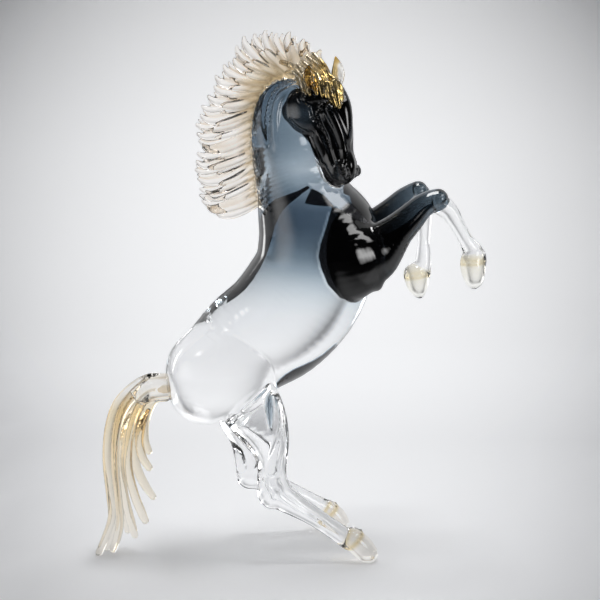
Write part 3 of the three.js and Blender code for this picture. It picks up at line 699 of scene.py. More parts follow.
def mark(op, k, pixels, radii, where=rough, sink=0.0, flat=1.0, head_mirror=False, far=False, sub=3):
    pixels = [uv for uv in pixels if struck(where, cast(where, *uv))]
    pts = [cast(where, u, v) for u, v in pixels]
    pts = [p - ray(*uv) * -sink for p, uv in zip(pts, pixels)] if sink else pts
    detail.append((op, k, tube(path(pts, radii, flat), sub)))
    if head_mirror:
        detail.append((op, k, tube(path([mirror_head(p) for p in pts], radii, flat), sub)))
    if far:
        q = [cast_y(where, p[0], p[2], 1) for p in pts]
        detail.append((op, k, tube(path(q, radii, flat), sub)))
    return pts


# crest: a groove that follows the roll along the top of the neck
CREST = [(300, 83), (290, 81), (280, 86), (272.5, 95), (268.5, 107), (267, 120), (267.5, 132), (269, 144)]
mark("-", 3.6, CREST, (1.2, 3.0, 3.5, 3.5, 3.2, 2.2, 0.5), far=True)
mark("+", 4.0, [(294, 89), (286, 92), (280, 98), (276.5, 107), (275, 120), (275, 133), (276.5, 148)], (0.8, 2.2, 2.6, 2.6, 2.4, 1.8, 0.5), far=True)
for i, (u, v) in enumerate([(286, 82.5), (281, 86), (277, 89.5), (274, 94), (271.5, 98.5), (270, 103), (268.7, 108), (268, 113), (267.6, 118), (267.6, 123)]):
    q = cast(rough, u, v)
    if struck(rough, q):
        detail.append(("+", 0.6, Ball(q + ray(u, v) * 2.6, [1.5 + 0.25 * math.sin(3.1 * i)] * 3)))
# face: ridge, channel behind the eye, rim of the cheek, lips
mark("+", 3.5, [(329, 108), (333, 117), (338, 128), (342, 140), (344.5, 152), (345.5, 163)], (4.4, 3.8, 2.8, 2.3, 1.8), where=only_head, head_mirror=True)
mark("-", 2.4, [(312, 106), (314.5, 115), (319, 126), (325, 137), (329, 148), (332, 158)], (2.0, 3.0, 2.8, 2.4, 1.6, 0.6), where=only_head, head_mirror=True)
mark("-", 1.6, [(313, 133.5), (305, 131.5), (297, 127), (290.5, 120)], (0.6, 1.0, 1.1, 0.6), where=only_head, head_mirror=True)
mark("-", 1.6, [(301, 92.5), (300, 98), (304, 102), (311, 104), (317, 102)], (0.6, 1.1, 1.2, 1.2, 0.6), where=only_head, head_mirror=True)
mark("-", 1.4, [(324.5, 165), (327.5, 173), (332.5, 179), (340, 181.5), (347, 180)], (0.7, 1.3, 1.3, 1.1, 0.6), where=only_head, head_mirror=True)
mark("+", 1.6, [(322.5, 168), (326, 178), (333, 184.5)], (0.8, 1.3, 0.8), where=only_head, head_mirror=True)
mark("-", 1.6, [(330, 152), (334, 163), (337, 171)], (0.6, 1.6, 0.6), where=only_head, head_mirror=True)
nose = cast(only_head, 342, 170.5)
for p in (nose, mirror_head(nose)):
    detail.append(("+", 2.0, Ball(p + HEAD_M * 1, (5.4, 3.8, 3.4), AX)))
    detail.append(("-", 1.4, Ball(p - HEAD_L * np.sign(np.dot(HEAD_L, HEAD_O - p)) * 1.5, (3.0, 1.7, 3.0), AX)))
eye = cast(only_head, 320.5, 106.5)
for p in (eye, mirror_head(eye)):
    detail.append(("-", 2.0, Ball(p, (4.8, 5.6, 3.0), AX)))
    detail.append(("+", 0.6, Ball(p, (3.0, 3.8, 2.2), AX)))
for i, (u, v) in enumerate([(313.5, 117), (316.2, 121.5), (319, 126), (322, 130.5), (325, 135.5), (327.5, 141), (329.5, 146.5)]):
    p = cast(only_head, u, v)
    for q in (p, mirror_head(p)):
        detail.append(("+", 0.5, Ball(q + ray(u, v) * 1.2 if q is p else q, [1.55 - 0.12 * i] * 3)))
for i, (u, v) in enumerate([(337, 166), (339.5, 165), (338.5, 176), (343.5, 177), (348, 170), (349, 175)]):
    p = cast(only_head, u, v)
    for q in (p, mirror_head(p)):
        detail.append(("+", 0.5, Ball(q, [1.3] * 3)))

# haunch: crease where the loin meets the croup, grooves down the thigh
loin = [cast(rough, 213, 328), cast(rough, 208.5, 319), on_plane(205.5, 311.5, -12), on_plane(204.5, 310.5, 0)]
loin += [p * (1, -1, 1) for p in loin[-2::-1]]
detail.append(("-", 2.0, tube(path(loin, (0.6, 1.6, 2.2, 1.6, 0.6)), 3)))
mark("-", 1.2, [(214, 431), (221, 425.5), (232, 417), (245, 406), (258, 394), (266, 386.5), (272, 380)], (0.5, 1.9, 2.4, 2.4, 2.1, 1.6, 0.5))
mark("+", 1.6, [(238, 427), (243, 421), (249, 415)], (0.6, 1.9, 0.6))
mark("-", 2.4, [(224, 334), (233, 336.5), (242, 341), (252, 347), (260, 353), (267, 359), (272, 365), (275, 374), (276.5, 384)], (0.2, 0.6, 0.9, 1.1, 1.2, 1.2, 1.1, 0.8, 0.3))
mark("-", 3.0, [(237, 431), (247, 441), (255.5, 452), (261, 464), (264, 478)], (0.2, 1.5, 1.9, 1.6, 0.5))
mark("-", 3.0, [(281, 412), (281.5, 428), (277, 444), (271, 459), (268, 474)], (0.2, 1.7, 2.0, 1.6, 0.5))
mark("-", 2.2, [(271, 394), (269.5, 403), (269.5, 416), (270, 432)], (1.0, 3.6, 3.0, 0.6))
mark("-", 1.8, [(275, 488), (287, 499), (303, 510), (322, 523)], (0.6, 1.3, 1.3, 0.5))
for pts, r in (([(234, 430), (240, 441), (243, 452), (246, 466)], (0.5, 1.5, 1.6, 0.6)), ([(260, 430), (258, 441), (254, 453), (251, 466)], (0.5, 1.5, 1.6, 0.6))):
    q = [on_plane(u, v, 60) for u, v in pts]
    q = [cast_y(rough, p[0], p[2], 1) for p in q]
    detail.append(("-", 2.6, tube(path(q, r), 3)))


def coronet(rows, n, r, at=0):
    """A ring of small lobes where the hoof meets the leg."""
    c, d = np.array(rows[at][:3]), np.array(rows[at + 1][:3]) - np.array(rows[at][:3])
    d = d / np.linalg.norm(d)
    sd = np.array([0, 1.0, 0])
    m = np.cross(d, sd)
    return [("+", 1.0, Ball(c + d * (0.8 + 0.7 * math.sin(2.3 * j)) + (m * math.cos(2 * math.pi * j / n) * rows[at][3] + sd * math.sin(2 * math.pi * j / n) * rows[at][4]) * r, (2.2, 1.7, 1.7), (d, m, sd)))
            for j in range(n)]


detail += coronet(HOOF_HIND_RIGHT, 13, 0.95) + coronet(HOOF_HIND_LEFT, 13, 0.95)
detail.append(("-", 0.6, Below(0.0)))

body_shape = Shape(base + head + detail)

# ---- fore legs, ears, mane, tail, forelock
def foreleg(leg, hoof):
    hoof = [[r[0] - 1.9, r[1], r[2] + 0.6, r[3] * g, r[4] * g] for r, g in zip(hoof, (1.1, 1.1, 1.12, 1.15))]
    return Shape([("+", 1, tube(leg)), ("+", 2.0, tube(hoof))] + coronet(hoof, 12, 0.86))


GATHER = {
    "foreleg_right": (foreleg(LEG_RIGHT, HOOF_FORE_RIGHT), 1.0),
    "foreleg_left": (foreleg(LEG_LEFT, HOOF_FORE_LEFT), 1.0),
    "ear_right": (Shape([("+", 1, tube(EAR_RIGHT)), ("-", 1.0, Ball((6.6, -38.6, 433.5), (2.6, 2.0, 7.0)))]), 0.5),
    "ear_left": (Shape([("+", 1, tube(EAR_LEFT)), ("-", 1.0, Ball((33.5, -9.5, 438), (2.6, 2.2, 8.0)))]), 0.5),
}


def strand(row, i, width=1.0, reach=1.0, splay=3.0, start=-0.03, tip=4.6, offset=None):
    """One drawn-out lock of the mane, from the crest of the neck to a turned-up tip."""
    r, t = np.array(row[:3]), np.array(row[3:])
    d = t - r
    length = math.hypot(d[0], d[2])
    n = np.array([d[2], 0, -d[0]]) / length
    if n[2] < 0:
        n = -n
    sag = (0.075 + 0.03 * math.sin(2.4 * i)) * length
    off = (splay if i % 2 else -splay) if offset is None else offset
    rows = []
    for s, a, b in [(0.0, 0.9, 0.95), (0.14, 1.02, 1.1), (0.34, 1.1, 1.08), (0.58, 1.08, 0.98), (0.78, 0.86, 0.84), (0.9, 0.6, 0.64), (0.985, 0.34, 0.42)]:
        s = start + (1 - start) * s
        q = s * reach
        up = tip * max(0.0, (s - 0.72) / 0.28) ** 2
        c = r + d * q * (1 - 0.012 * up) - n * sag * math.sin(math.pi * min(max(q, 0), 1)) + n * (up - 0.35 * tip * max(0.0, (s - 0.72) / 0.28))
        wave = 0.7 * math.sin(9 * s + 1.9 * i)
        rows.append([c[0], c[1] + off * (0.45 + 0.85 * s) + wave * 0.6, c[2] + wave * 0.35, 5.1 * a * width, 4.0 * b * width])
    return tube(rows, 3)


def between(i, f):
    """A row part way from row i to the next."""
    return [a + (b - a) * f for a, b in zip(MANE[i], MANE[min(i + 1, len(MANE) - 1)])]


mane_strands = [strand(m, i, 0.92) for i, m in enumerate(MANE)]
mane_strands += [strand(between(i, 0.5), i + 0.5, 0.6, 0.955 + 0.045 * math.sin(1.7 * i), offset=-3.4, start=0.0) for i in range(1, 29, 2)]
mane_strands += [strand(between(i, 0.5), i + 0.2, 0.6, 0.955 + 0.045 * math.sin(2.1 * i), offset=3.4, start=0.0) for i in range(2, 29, 2)]
mane_items = [("+", 3, tube([[m[0] * 0.97 + m[3] * 0.03, m[1], m[2] * 0.97 + m[5] * 0.03, 3.4, 3.4] for m in MANE[::2]], 2))]
mane_items += [("+", 1.1, t) for t in mane_strands]
mane_shape = Shape(mane_items)

tail_items = [("+", 3, tube(TAIL_ROOT, 3))]
tail_strands = []
for i, t in enumerate(TAIL):
    n = len(t)
    shift = (0, -3.2, 3.4, -4.6, 1.0, -2.4, 2.6, 6.0, 4.6)[i % 9]
    rows = []
    for j, p in enumerate(t):
        f = j / (n - 1)
        r = 4.3 * (1 - 0.1 * f) * (1 + 0.07 * math.sin(5.2 * f + i)) if j < n - 1 else 3.3
        rows.append([p[0], p[1] + shift * min(1, 2.2 * f), p[2], r, r * 0.98])
    tail_strands.append(tube(rows, 3))
tail_items += [("+", 0.6, t) for t in tail_strands]
tail_items.append(("-", 0.6, Below(0.0)))
tail_shape = Shape(tail_items)

# gold locks heaped over the poll, each along the line of sight of the photograph
LOCKS = [
    ([(328, 84), (330.5, 95), (335.5, 106)], 3.6), ([(333, 83), (336.5, 94), (339.5, 107)], 3.6), ([(337, 87), (340.5, 95), (341.5, 104)], 2.8),
    ([(305, 77), (307.5, 86), (310, 95)], 3.2), ([(311, 74), (314.5, 84), (317, 94)], 3.2), ([(301, 80), (303.5, 88), (306, 94)], 2.5),
    ([(317, 75), (320.5, 84), (322.5, 96)], 3.0), ([(322, 78), (325.5, 87), (326.5, 97)], 3.0),
    ([(333, 78), (339, 86), (343, 99)], 2.8), ([(326, 74), (334, 80), (340, 90)], 2.8),
    ([(297, 66), (307, 74), (315, 84)], 2.9), ([(302, 62), (313, 71), (322, 83)], 2.9), ([(307, 57), (319, 68), (329, 82)], 2.9),
    ([(313, 54), (324, 66), (332, 80)], 2.7), ([(290, 64), (299, 70), (307, 80)], 2.6), ([(281, 62), (290, 65.5), (299, 75)], 2.5),
    ([(287, 72), (296, 73), (304, 82)], 2.2), ([(296, 78), (300, 85), (303, 92)], 1.9),
]
crown = Shape(rough.items + [("+", 3, Ball((12.3, -18, 430), (13, 15, 8)))])
lock_items = [("+", 3, Ball((12.3, -18, 430.5), (12, 15, 7)))]
for i, (pts, r) in enumerate(LOCKS):
    rows = []
    for j, (u, v) in enumerate(pts):
        q = cast(crown, u, v)
        if q[1] > 10:
            q = on_plane(u, v, -22)
        if u < 296:
            q = on_plane(u, v, -11.5)
        q = q - ray(u, v) * (r * 0.35)
        w = r * (0.8, 1.0, 0.42)[j]
        rows.append([*q, w, w])
    lock_items.append(("+", 0.7, tube(rows, 5)))
for t in FORELOCK:
    lock_items.append(("+", 0.9, tube([[r[0], -2 * -14 - r[1] - 32, r[2], r[3] * 0.8, r[4] * 0.8] for r in t], 3)))
lock_shape = Shape(lock_items)
GATHER["mane"] = (mane_shape, 0.95)
GATHER["tail"] = (tail_shape, 0.9)
GATHER["forelock"] = (lock_shape, 0.65)


def seams(V, tubes):
    """Near 0 in the furrow between two strands, 1 along the middle of a strand."""
    a, b = np.full(len(V), 9.0), np.full(len(V), 9.0)
    for t in tubes:
        idx = np.nonzero(((V > t.lo - 4) & (V < t.hi + 4)).all(1))[0]
        if not len(idx):
            continue
        g = t.measure(V[idx])
        lower = g < a[idx]
        b[idx] = np.where(lower, a[idx], np.minimum(b[idx], g))
        a[idx] = np.where(lower, g, a[idx])
    return np.clip((b - a) / 2.4, 0, 1)


# ---- meshes
def to_object(name, V, Q, attributes=None):
    me = bpy.data.meshes.new(name)
    P = np.clip((V + np.array(SHIFT)) * 0.001, CAD_LO, CAD_HI)
    me.vertices.add(len(P))
    me.vertices.foreach_set("co", P.astype(np.float32).ravel())
    me.loops.add(Q.size)
    me.loops.foreach_set("vertex_index", Q.astype(np.int32).ravel())
    me.polygons.add(len(Q))
    me.polygons.foreach_set("loop_start", np.arange(0, Q.size, 4, dtype=np.int32))
    me.polygons.foreach_set("loop_total", np.full(len(Q), 4, np.int32))
    me.polygons.foreach_set("use_smooth", np.ones(len(Q), bool))
    me.update(calc_edges=True)
    me.validate()
    for key, val in (attributes or {}).items():
        a = me.attributes.new(key, "FLOAT", "POINT")
        a.data.foreach_set("value", np.asarray(val, np.float32))
    ob = bpy.data.objects.new(name, me)
    bpy.context.collection.objects.link(ob)
    return ob


# ---- colour fields on the body
def step(e0, e1, x):
    t = np.clip((x - e0) / (e1 - e0), 0, 1)
    return t * t * (3 - 2 * t)


def project(V):
    d = V - EYE
    z = -(d @ BACK)
    return 300 + FOCAL * (d @ RIGHT) / z, 300 - FOCAL * (d @ UP) / z


def signed_polygon(P, poly):
    """Millimetres inside (positive) or outside a closed outline."""
    poly = np.asarray(poly, float)
    a, b = poly, np.roll(poly, -1, 0)
    best, inside = np.full(len(P), 1e9), np.zeros(len(P), bool)
    for (x0, y0), (x1, y1) in zip(a, b):
        d = np.array([x1 - x0, y1 - y0])
        t = np.clip(((P[:, 0] - x0) * d[0] + (P[:, 1] - y0) * d[1]) / (d @ d), 0, 1)
        best = np.minimum(best, np.hypot(P[:, 0] - x0 - t * d[0], P[:, 1] - y0 - t * d[1]))
        cross = (y0 > P[:, 1]) != (y1 > P[:, 1])
        with np.errstate(divide="ignore", invalid="ignore"):
            xi = (x1 - x0) * (P[:, 1] - y0) / (y1 - y0) + x0
        inside ^= cross & (P[:, 0] < xi)
    return np.where(inside, best, -best)


TRUNK_Z, TRUNK_X, TRUNK_A = (np.array([r[k] for r in TRUNK]) for k in (2, 0, 3))


def outline(pixels, y):
    return [on_plane(u, v, y)[[0, 2]] for u, v in pixels]


def smoke_field(V):
    """How deep the grey is: none at the haunches, deepest at the top of the barrel, a little less up the neck."""
    x, y, z = V.T
    h = z + 0.06 * x
    s = np.interp(h, [165, 190, 208, 228, 246, 262, 278, 292, 306, 318, 330, 342, 355, 364, 376, 400, 430], [0, 0.03, 0.10, 0.22, 0.44, 0.65, 0.83, 0.95, 1.0, 0.96, 0.8, 0.68, 0.66, 0.75, 0.83, 0.84, 0.84])
    cx = np.interp(z, TRUNK_Z, TRUNK_X)
    half = np.interp(z, TRUNK_Z, TRUNK_A)
    across = np.clip((x - cx) / half, -1, 1)
    neck = step(312, 345, z)
    s = s - neck * 0.13 * np.clip(across + 0.25, -1, 1)
    # painted shade: the smoke is raised to near black in a strip along the lower edge of the belly
    s = np.maximum(s, 0.97 * step(-0.8, 1.6, np.minimum(signed_polygon(np.stack(project(V), 1), BELLY_SHADE), 4 - y)))
    s = np.maximum(s, 0.78 * step(-1.0, 2.2, np.minimum(signed_polygon(V[:, [0, 2]], TEAR), -y)))
    # painted reflection: the smoke is nearly removed on the near side over a pale patch of the chest, standing in for a
    # softbox reflection
    s = s * (1 - 0.9 * step(-0.3, 0.6, np.minimum(signed_polygon(np.stack(project(V), 1), PAINTED_CHEST_REFLECTION), -y)))
    edge = signed_polygon(V[:, [0, 2]], SHOULDER)
    rim = step(-2.6, -1.4, edge) * step(0.2, -0.6, edge) * (y < 0) * (V[:, 2] < 318)
    return np.clip(s * (1 - 0.45 * rim), 0, 1)


def black_field(V):
    """Millimetres inside the black glass: the head, the shoulders and the forearms; it also carries painted shade,
    black strips at the root of the neck, down the back edge and along the lower edge of the belly.
    """
    x, y, z = V.T
    XZ = V[:, [0, 2]]
    t = trunk_only.measure(V)
    f = np.clip(t - only_head.measure(V), -30, 30)
    f = np.where(z > 335, f, -30)
    arm = limbs.measure(V)
    s = np.where(arm > 40, -30, np.clip(t - arm, -30, 30))
    s = np.where(y > 0, np.minimum(s, x - 31), s)
    near = np.minimum(np.maximum(signed_polygon(XZ, SHOULDER), signed_polygon(XZ, CHEEK)), -y)
    UV = np.stack(project(V), 1)
    # painted shade: black strips at the root of the neck and down the back edge, standing in for the black core and
    # dark surroundings seen refracted through the clear glass
    collar_shade = np.maximum(np.minimum(signed_polygon(UV, COLLAR_SHADE_LEFT), 2 - y), np.minimum(signed_polygon(XZ, COLLAR_SHADE_RIGHT), -y))
    chest = np.where(z < 345, signed_polygon(XZ, CHEST), -30)
    # painted shade: the same strip along the lower edge of the belly is made black
    under = np.minimum(signed_polygon(UV, BELLY_SHADE) - 1.4, 4 - y)
    return np.maximum.reduce([f, s, near, collar_shade, chest, under])


def knee_and_cheek_highlight_field(V):
    """0 in the opaque black of the shoulder, 1 where the forearms thin out towards the knees; it also carries a painted
    highlight, a lighter patch on the black of the cheek.
    """
    u, v = project(V)
    # painted highlight: a soft lighter patch on the black head over the cheek, standing in for a reflection
    cheek = 0.66 * np.exp(-(((u - 301) / 12.5) ** 2 + ((v - 116) / 13.0) ** 2) ** 1.4) * (V[:, 2] > 335) * (V[:, 0] < 30)
    return np.maximum(step(62, 122, V[:, 0]) * (V[:, 2] > 240), cheek)


def amber_field(V):
    """The warm rings where the hind hooves start."""
    out = np.zeros(len(V))
    for rows in (HOOF_HIND_RIGHT, HOOF_HIND_LEFT):
        c, d = np.array(rows[0][:3]), np.array(rows[2][:3]) - np.array(rows[0][:3])
        t = (V - c) @ (d / np.linalg.norm(d))
        near = np.linalg.norm(V - c, axis=1) < 30
        out = np.maximum(out, near * np.exp(-((t - 1.5) / 3.6) ** 2))
        out = np.maximum(out, near * 0.18 * step(-2, 3, t))
    return out


# outlines of the painted shade strips at the root of the neck and down the back edge
COLLAR_SHADE_LEFT = [(258, 240), (261, 216), (268, 205), (275, 199), (286, 195), (297, 191), (308.6, 185), (310, 188), (303, 193), (297, 198), (288, 205), (281, 213),
               (275, 226), (271.5, 240), (267, 254), (260.5, 268), (253, 280), (245, 290), (236, 297.5), (226, 304), (228, 296), (240, 280), (248, 266), (254, 252)]
COLLAR_SHADE_RIGHT = outline([(312, 188.5), (318, 191), (324, 195), (329, 200), (333, 206), (324, 206), (314, 205), (304, 203.5), (308, 195)], -42)
CHEST = outline([(343.5, 187.5), (347, 184), (360, 184), (392, 214), (392, 232), (380, 228), (374, 225), (366, 220.5), (357, 211), (350.5, 203.5), (349.5, 196), (343, 193.5)], -32)
SHOULDER = outline([(333, 207), (329, 218), (325, 230), (320, 244), (318, 256), (320.5, 268), (327, 284), (340, 298), (352, 302), (372, 300), (400, 270), (430, 220), (430, 180), (400, 190),
                    (378, 226), (366, 224), (352, 217), (343, 210)], -50)
CHEEK = outline([(303, 91), (297, 93), (291, 97), (286, 102.5), (283, 108), (283, 114), (285.5, 119.5), (290, 124), (296, 129), (302, 134), (310, 143), (317, 155), (321, 163), (330, 165), (330, 120), (318, 92)], -28)
TEAR = outline([(266, 397), (270, 393), (274, 398), (274.5, 412), (271, 433), (267, 422), (264.5, 408)], -50)
# outline of the painted reflection on the chest, in camera pixels
PAINTED_CHEST_REFLECTION = [(307.5, 182.5), (343, 187), (349, 196), (339.5, 195), (345.6, 202), (359.6, 209.5), (363, 217), (377.5, 223), (372.6, 226.7), (358, 222), (345.6, 218), (342, 209.5), (332, 203.4), (321, 197)]
# outline of the painted shade strip along the lower edge of the belly, in camera pixels
BELLY_SHADE = [(275, 384), (279, 378.5), (285, 373.5), (293, 368.5), (302, 364.5), (312, 360), (322, 354), (334, 344), (338, 342), (334, 354), (320, 370), (300, 386), (284, 394), (276, 388)]


# ---- materials
def new_material(name):
    m = bpy.data.materials.new(name)
    m.use_nodes = True
    nt = m.node_tree
    return m, nt, nt.nodes["Principled BSDF"]


def glass(name, color, ior=1.5, rough=0.0):
    m, nt, b = new_material(name)
    b.inputs["Base Color"].default_value = (*color, 1)
    b.inputs["Transmission Weight"].default_value = 1.0
    b.inputs["IOR"].default_value = ior
    b.inputs["Roughness"].default_value = rough
    return m, nt, b


def ripple(nt, b, scale, strength, distance=0.001):
    """The faint waviness of fire-polished glass."""
    tc = nt.nodes.new("ShaderNodeTexCoord")
    no = nt.nodes.new("ShaderNodeTexNoise")
    no.inputs["Scale"].default_value = scale
    no.inputs["Detail"].default_value = 1.0
    bp = nt.nodes.new("ShaderNodeBump")
    bp.inputs["Strength"].default_value = strength
    bp.inputs["Distance"].default_value = distance
    nt.links.new(tc.outputs["Object"], no.inputs["Vector"])
    nt.links.new(no.outputs["Fac"], bp.inputs["Height"])
    nt.links.new(bp.outputs["Normal"], b.inputs["Normal"])


def ramp(nt, stops):
    r = nt.nodes.new("ShaderNodeValToRGB")
    e = r.color_ramp.elements
    while len(e) < len(stops):
        e.new(0.5)
    for el, (p, c) in zip(e, stops):
        el.position = p
        el.color = (*c, 1)
    return r


def attribute(nt, name):
    a = nt.nodes.new("ShaderNodeAttribute")
    a.attribute_name = name
    return a


def mixed(nt, fac, a, colour):
    """Mixes a colour over the colour socket a by fac."""
    mix = nt.nodes.new("ShaderNodeMix")
    mix.data_type = "RGBA"
    sock = {k.identifier: k for k in mix.inputs}
    nt.links.new(fac, sock["Factor_Float"])
    nt.links.new(a, sock["A_Color"])
    if isinstance(colour, tuple):
        sock["B_Color"].default_value = (*colour, 1)
    else:
        nt.links.new(colour, sock["B_Color"])
    return {k.identifier: k for k in mix.outputs}["Result_Color"]


def body_material():
    m, nt, b = glass("body_glass", (1, 1, 1))
    sm = attribute(nt, "smoke")
    col = ramp(nt, [(0.0, (0.985, 0.988, 0.992)), (0.15, (0.90, 0.92, 0.94)), (0.35, (0.73, 0.79, 0.825)), (0.5, (0.53, 0.61, 0.67)), (0.7, (0.235, 0.305, 0.365)), (0.85, (0.12, 0.17, 0.22)), (1.0, (0.045, 0.072, 0.108))])
    nt.links.new(sm.outputs["Fac"], col.inputs["Fac"])
    am = attribute(nt, "amber")
    warm = mixed(nt, am.outputs["Fac"], col.outputs["Color"], (0.70, 0.52, 0.22))
    # the black turns dark grey towards the knees, and over the cheek as a painted highlight
    kn = attribute(nt, "knee_and_cheek_highlight")
    dark = ramp(nt, [(0.0, (0.0004, 0.0004, 0.0005)), (0.35, (0.004, 0.006, 0.008)), (0.75, (0.035, 0.05, 0.065)), (1.0, (0.10, 0.135, 0.165))])
    nt.links.new(kn.outputs["Fac"], dark.inputs["Fac"])
    bl = attribute(nt, "black")
    mp = nt.nodes.new("ShaderNodeMapRange")
    mp.inputs["From Min"].default_value = -0.35
    mp.inputs["From Max"].default_value = 0.35
    nt.links.new(bl.outputs["Fac"], mp.inputs["Value"])
    nt.links.new(mixed(nt, mp.outputs["Result"], warm, dark.outputs["Color"]), b.inputs["Base Color"])
    ripple(nt, b, 18.0, 0.04)
    return m


def tinted(name, low, high, attr, rip=0.06, stops=None, seam=None, ior=1.5):
    """Tinted clear glass; the tint follows one attribute, and seam names the colour that gathers between strands."""
    m, nt, b = glass(name, high, ior)
    a = attribute(nt, attr)
    col = ramp(nt, stops or [(0.0, low), (1.0, high)])
    nt.links.new(a.outputs["Fac"], col.inputs["Fac"])
    out = col.outputs["Color"]
    if seam:
        g = attribute(nt, "seam")
        sr = ramp(nt, [(0.0, (1, 1, 1)), (0.3, (0.55, 0.55, 0.55)), (0.62, (0.05, 0.05, 0.05)), (1.0, (0, 0, 0))])
        nt.links.new(g.outputs["Fac"], sr.inputs["Fac"])
        deep = ramp(nt, seam)
        nt.links.new(a.outputs["Fac"], deep.inputs["Fac"])
        out = mixed(nt, sr.outputs["Color"], out, deep.outputs["Color"])
    nt.links.new(out, b.inputs["Base Color"])
    ripple(nt, b, 60.0, rip)
    return m


def foil(m, low, high, span):
    """Gold leaf caught in the glass: the metal shows in streaks."""
    nt = m.node_tree
    b = nt.nodes["Principled BSDF"]
    tc = nt.nodes.new("ShaderNodeTexCoord")
    no = nt.nodes.new("ShaderNodeTexNoise")
    no.inputs["Scale"].default_value = 170.0
    no.inputs["Detail"].default_value = 2.0
    mr = nt.nodes.new("ShaderNodeMapRange")
    mr.inputs["From Min"].default_value, mr.inputs["From Max"].default_value = span
    mr.inputs["To Min"].default_value, mr.inputs["To Max"].default_value = low, high
    nt.links.new(tc.outputs["Object"], no.inputs["Vector"])
    nt.links.new(no.outputs["Fac"], mr.inputs["Value"])
    part = ramp(nt, [(0.0, (0.60, 0.60, 0.60)), (0.5, (0.75, 0.75, 0.75)), (1.0, (1, 1, 1))])
    nt.links.new(attribute(nt, "along").outputs["Fac"], part.inputs["Fac"])
    both = nt.nodes.new("ShaderNodeMath")
    both.operation = "MULTIPLY"
    nt.links.new(mr.outputs["Result"], both.inputs[0])
    nt.links.new(part.outputs["Color"], both.inputs[1])
    nt.links.new(both.outputs["Value"], b.inputs["Metallic"])
    b.inputs["Roughness"].default_value = 0.22
    b.inputs["Transmission Weight"].default_value = 0.72


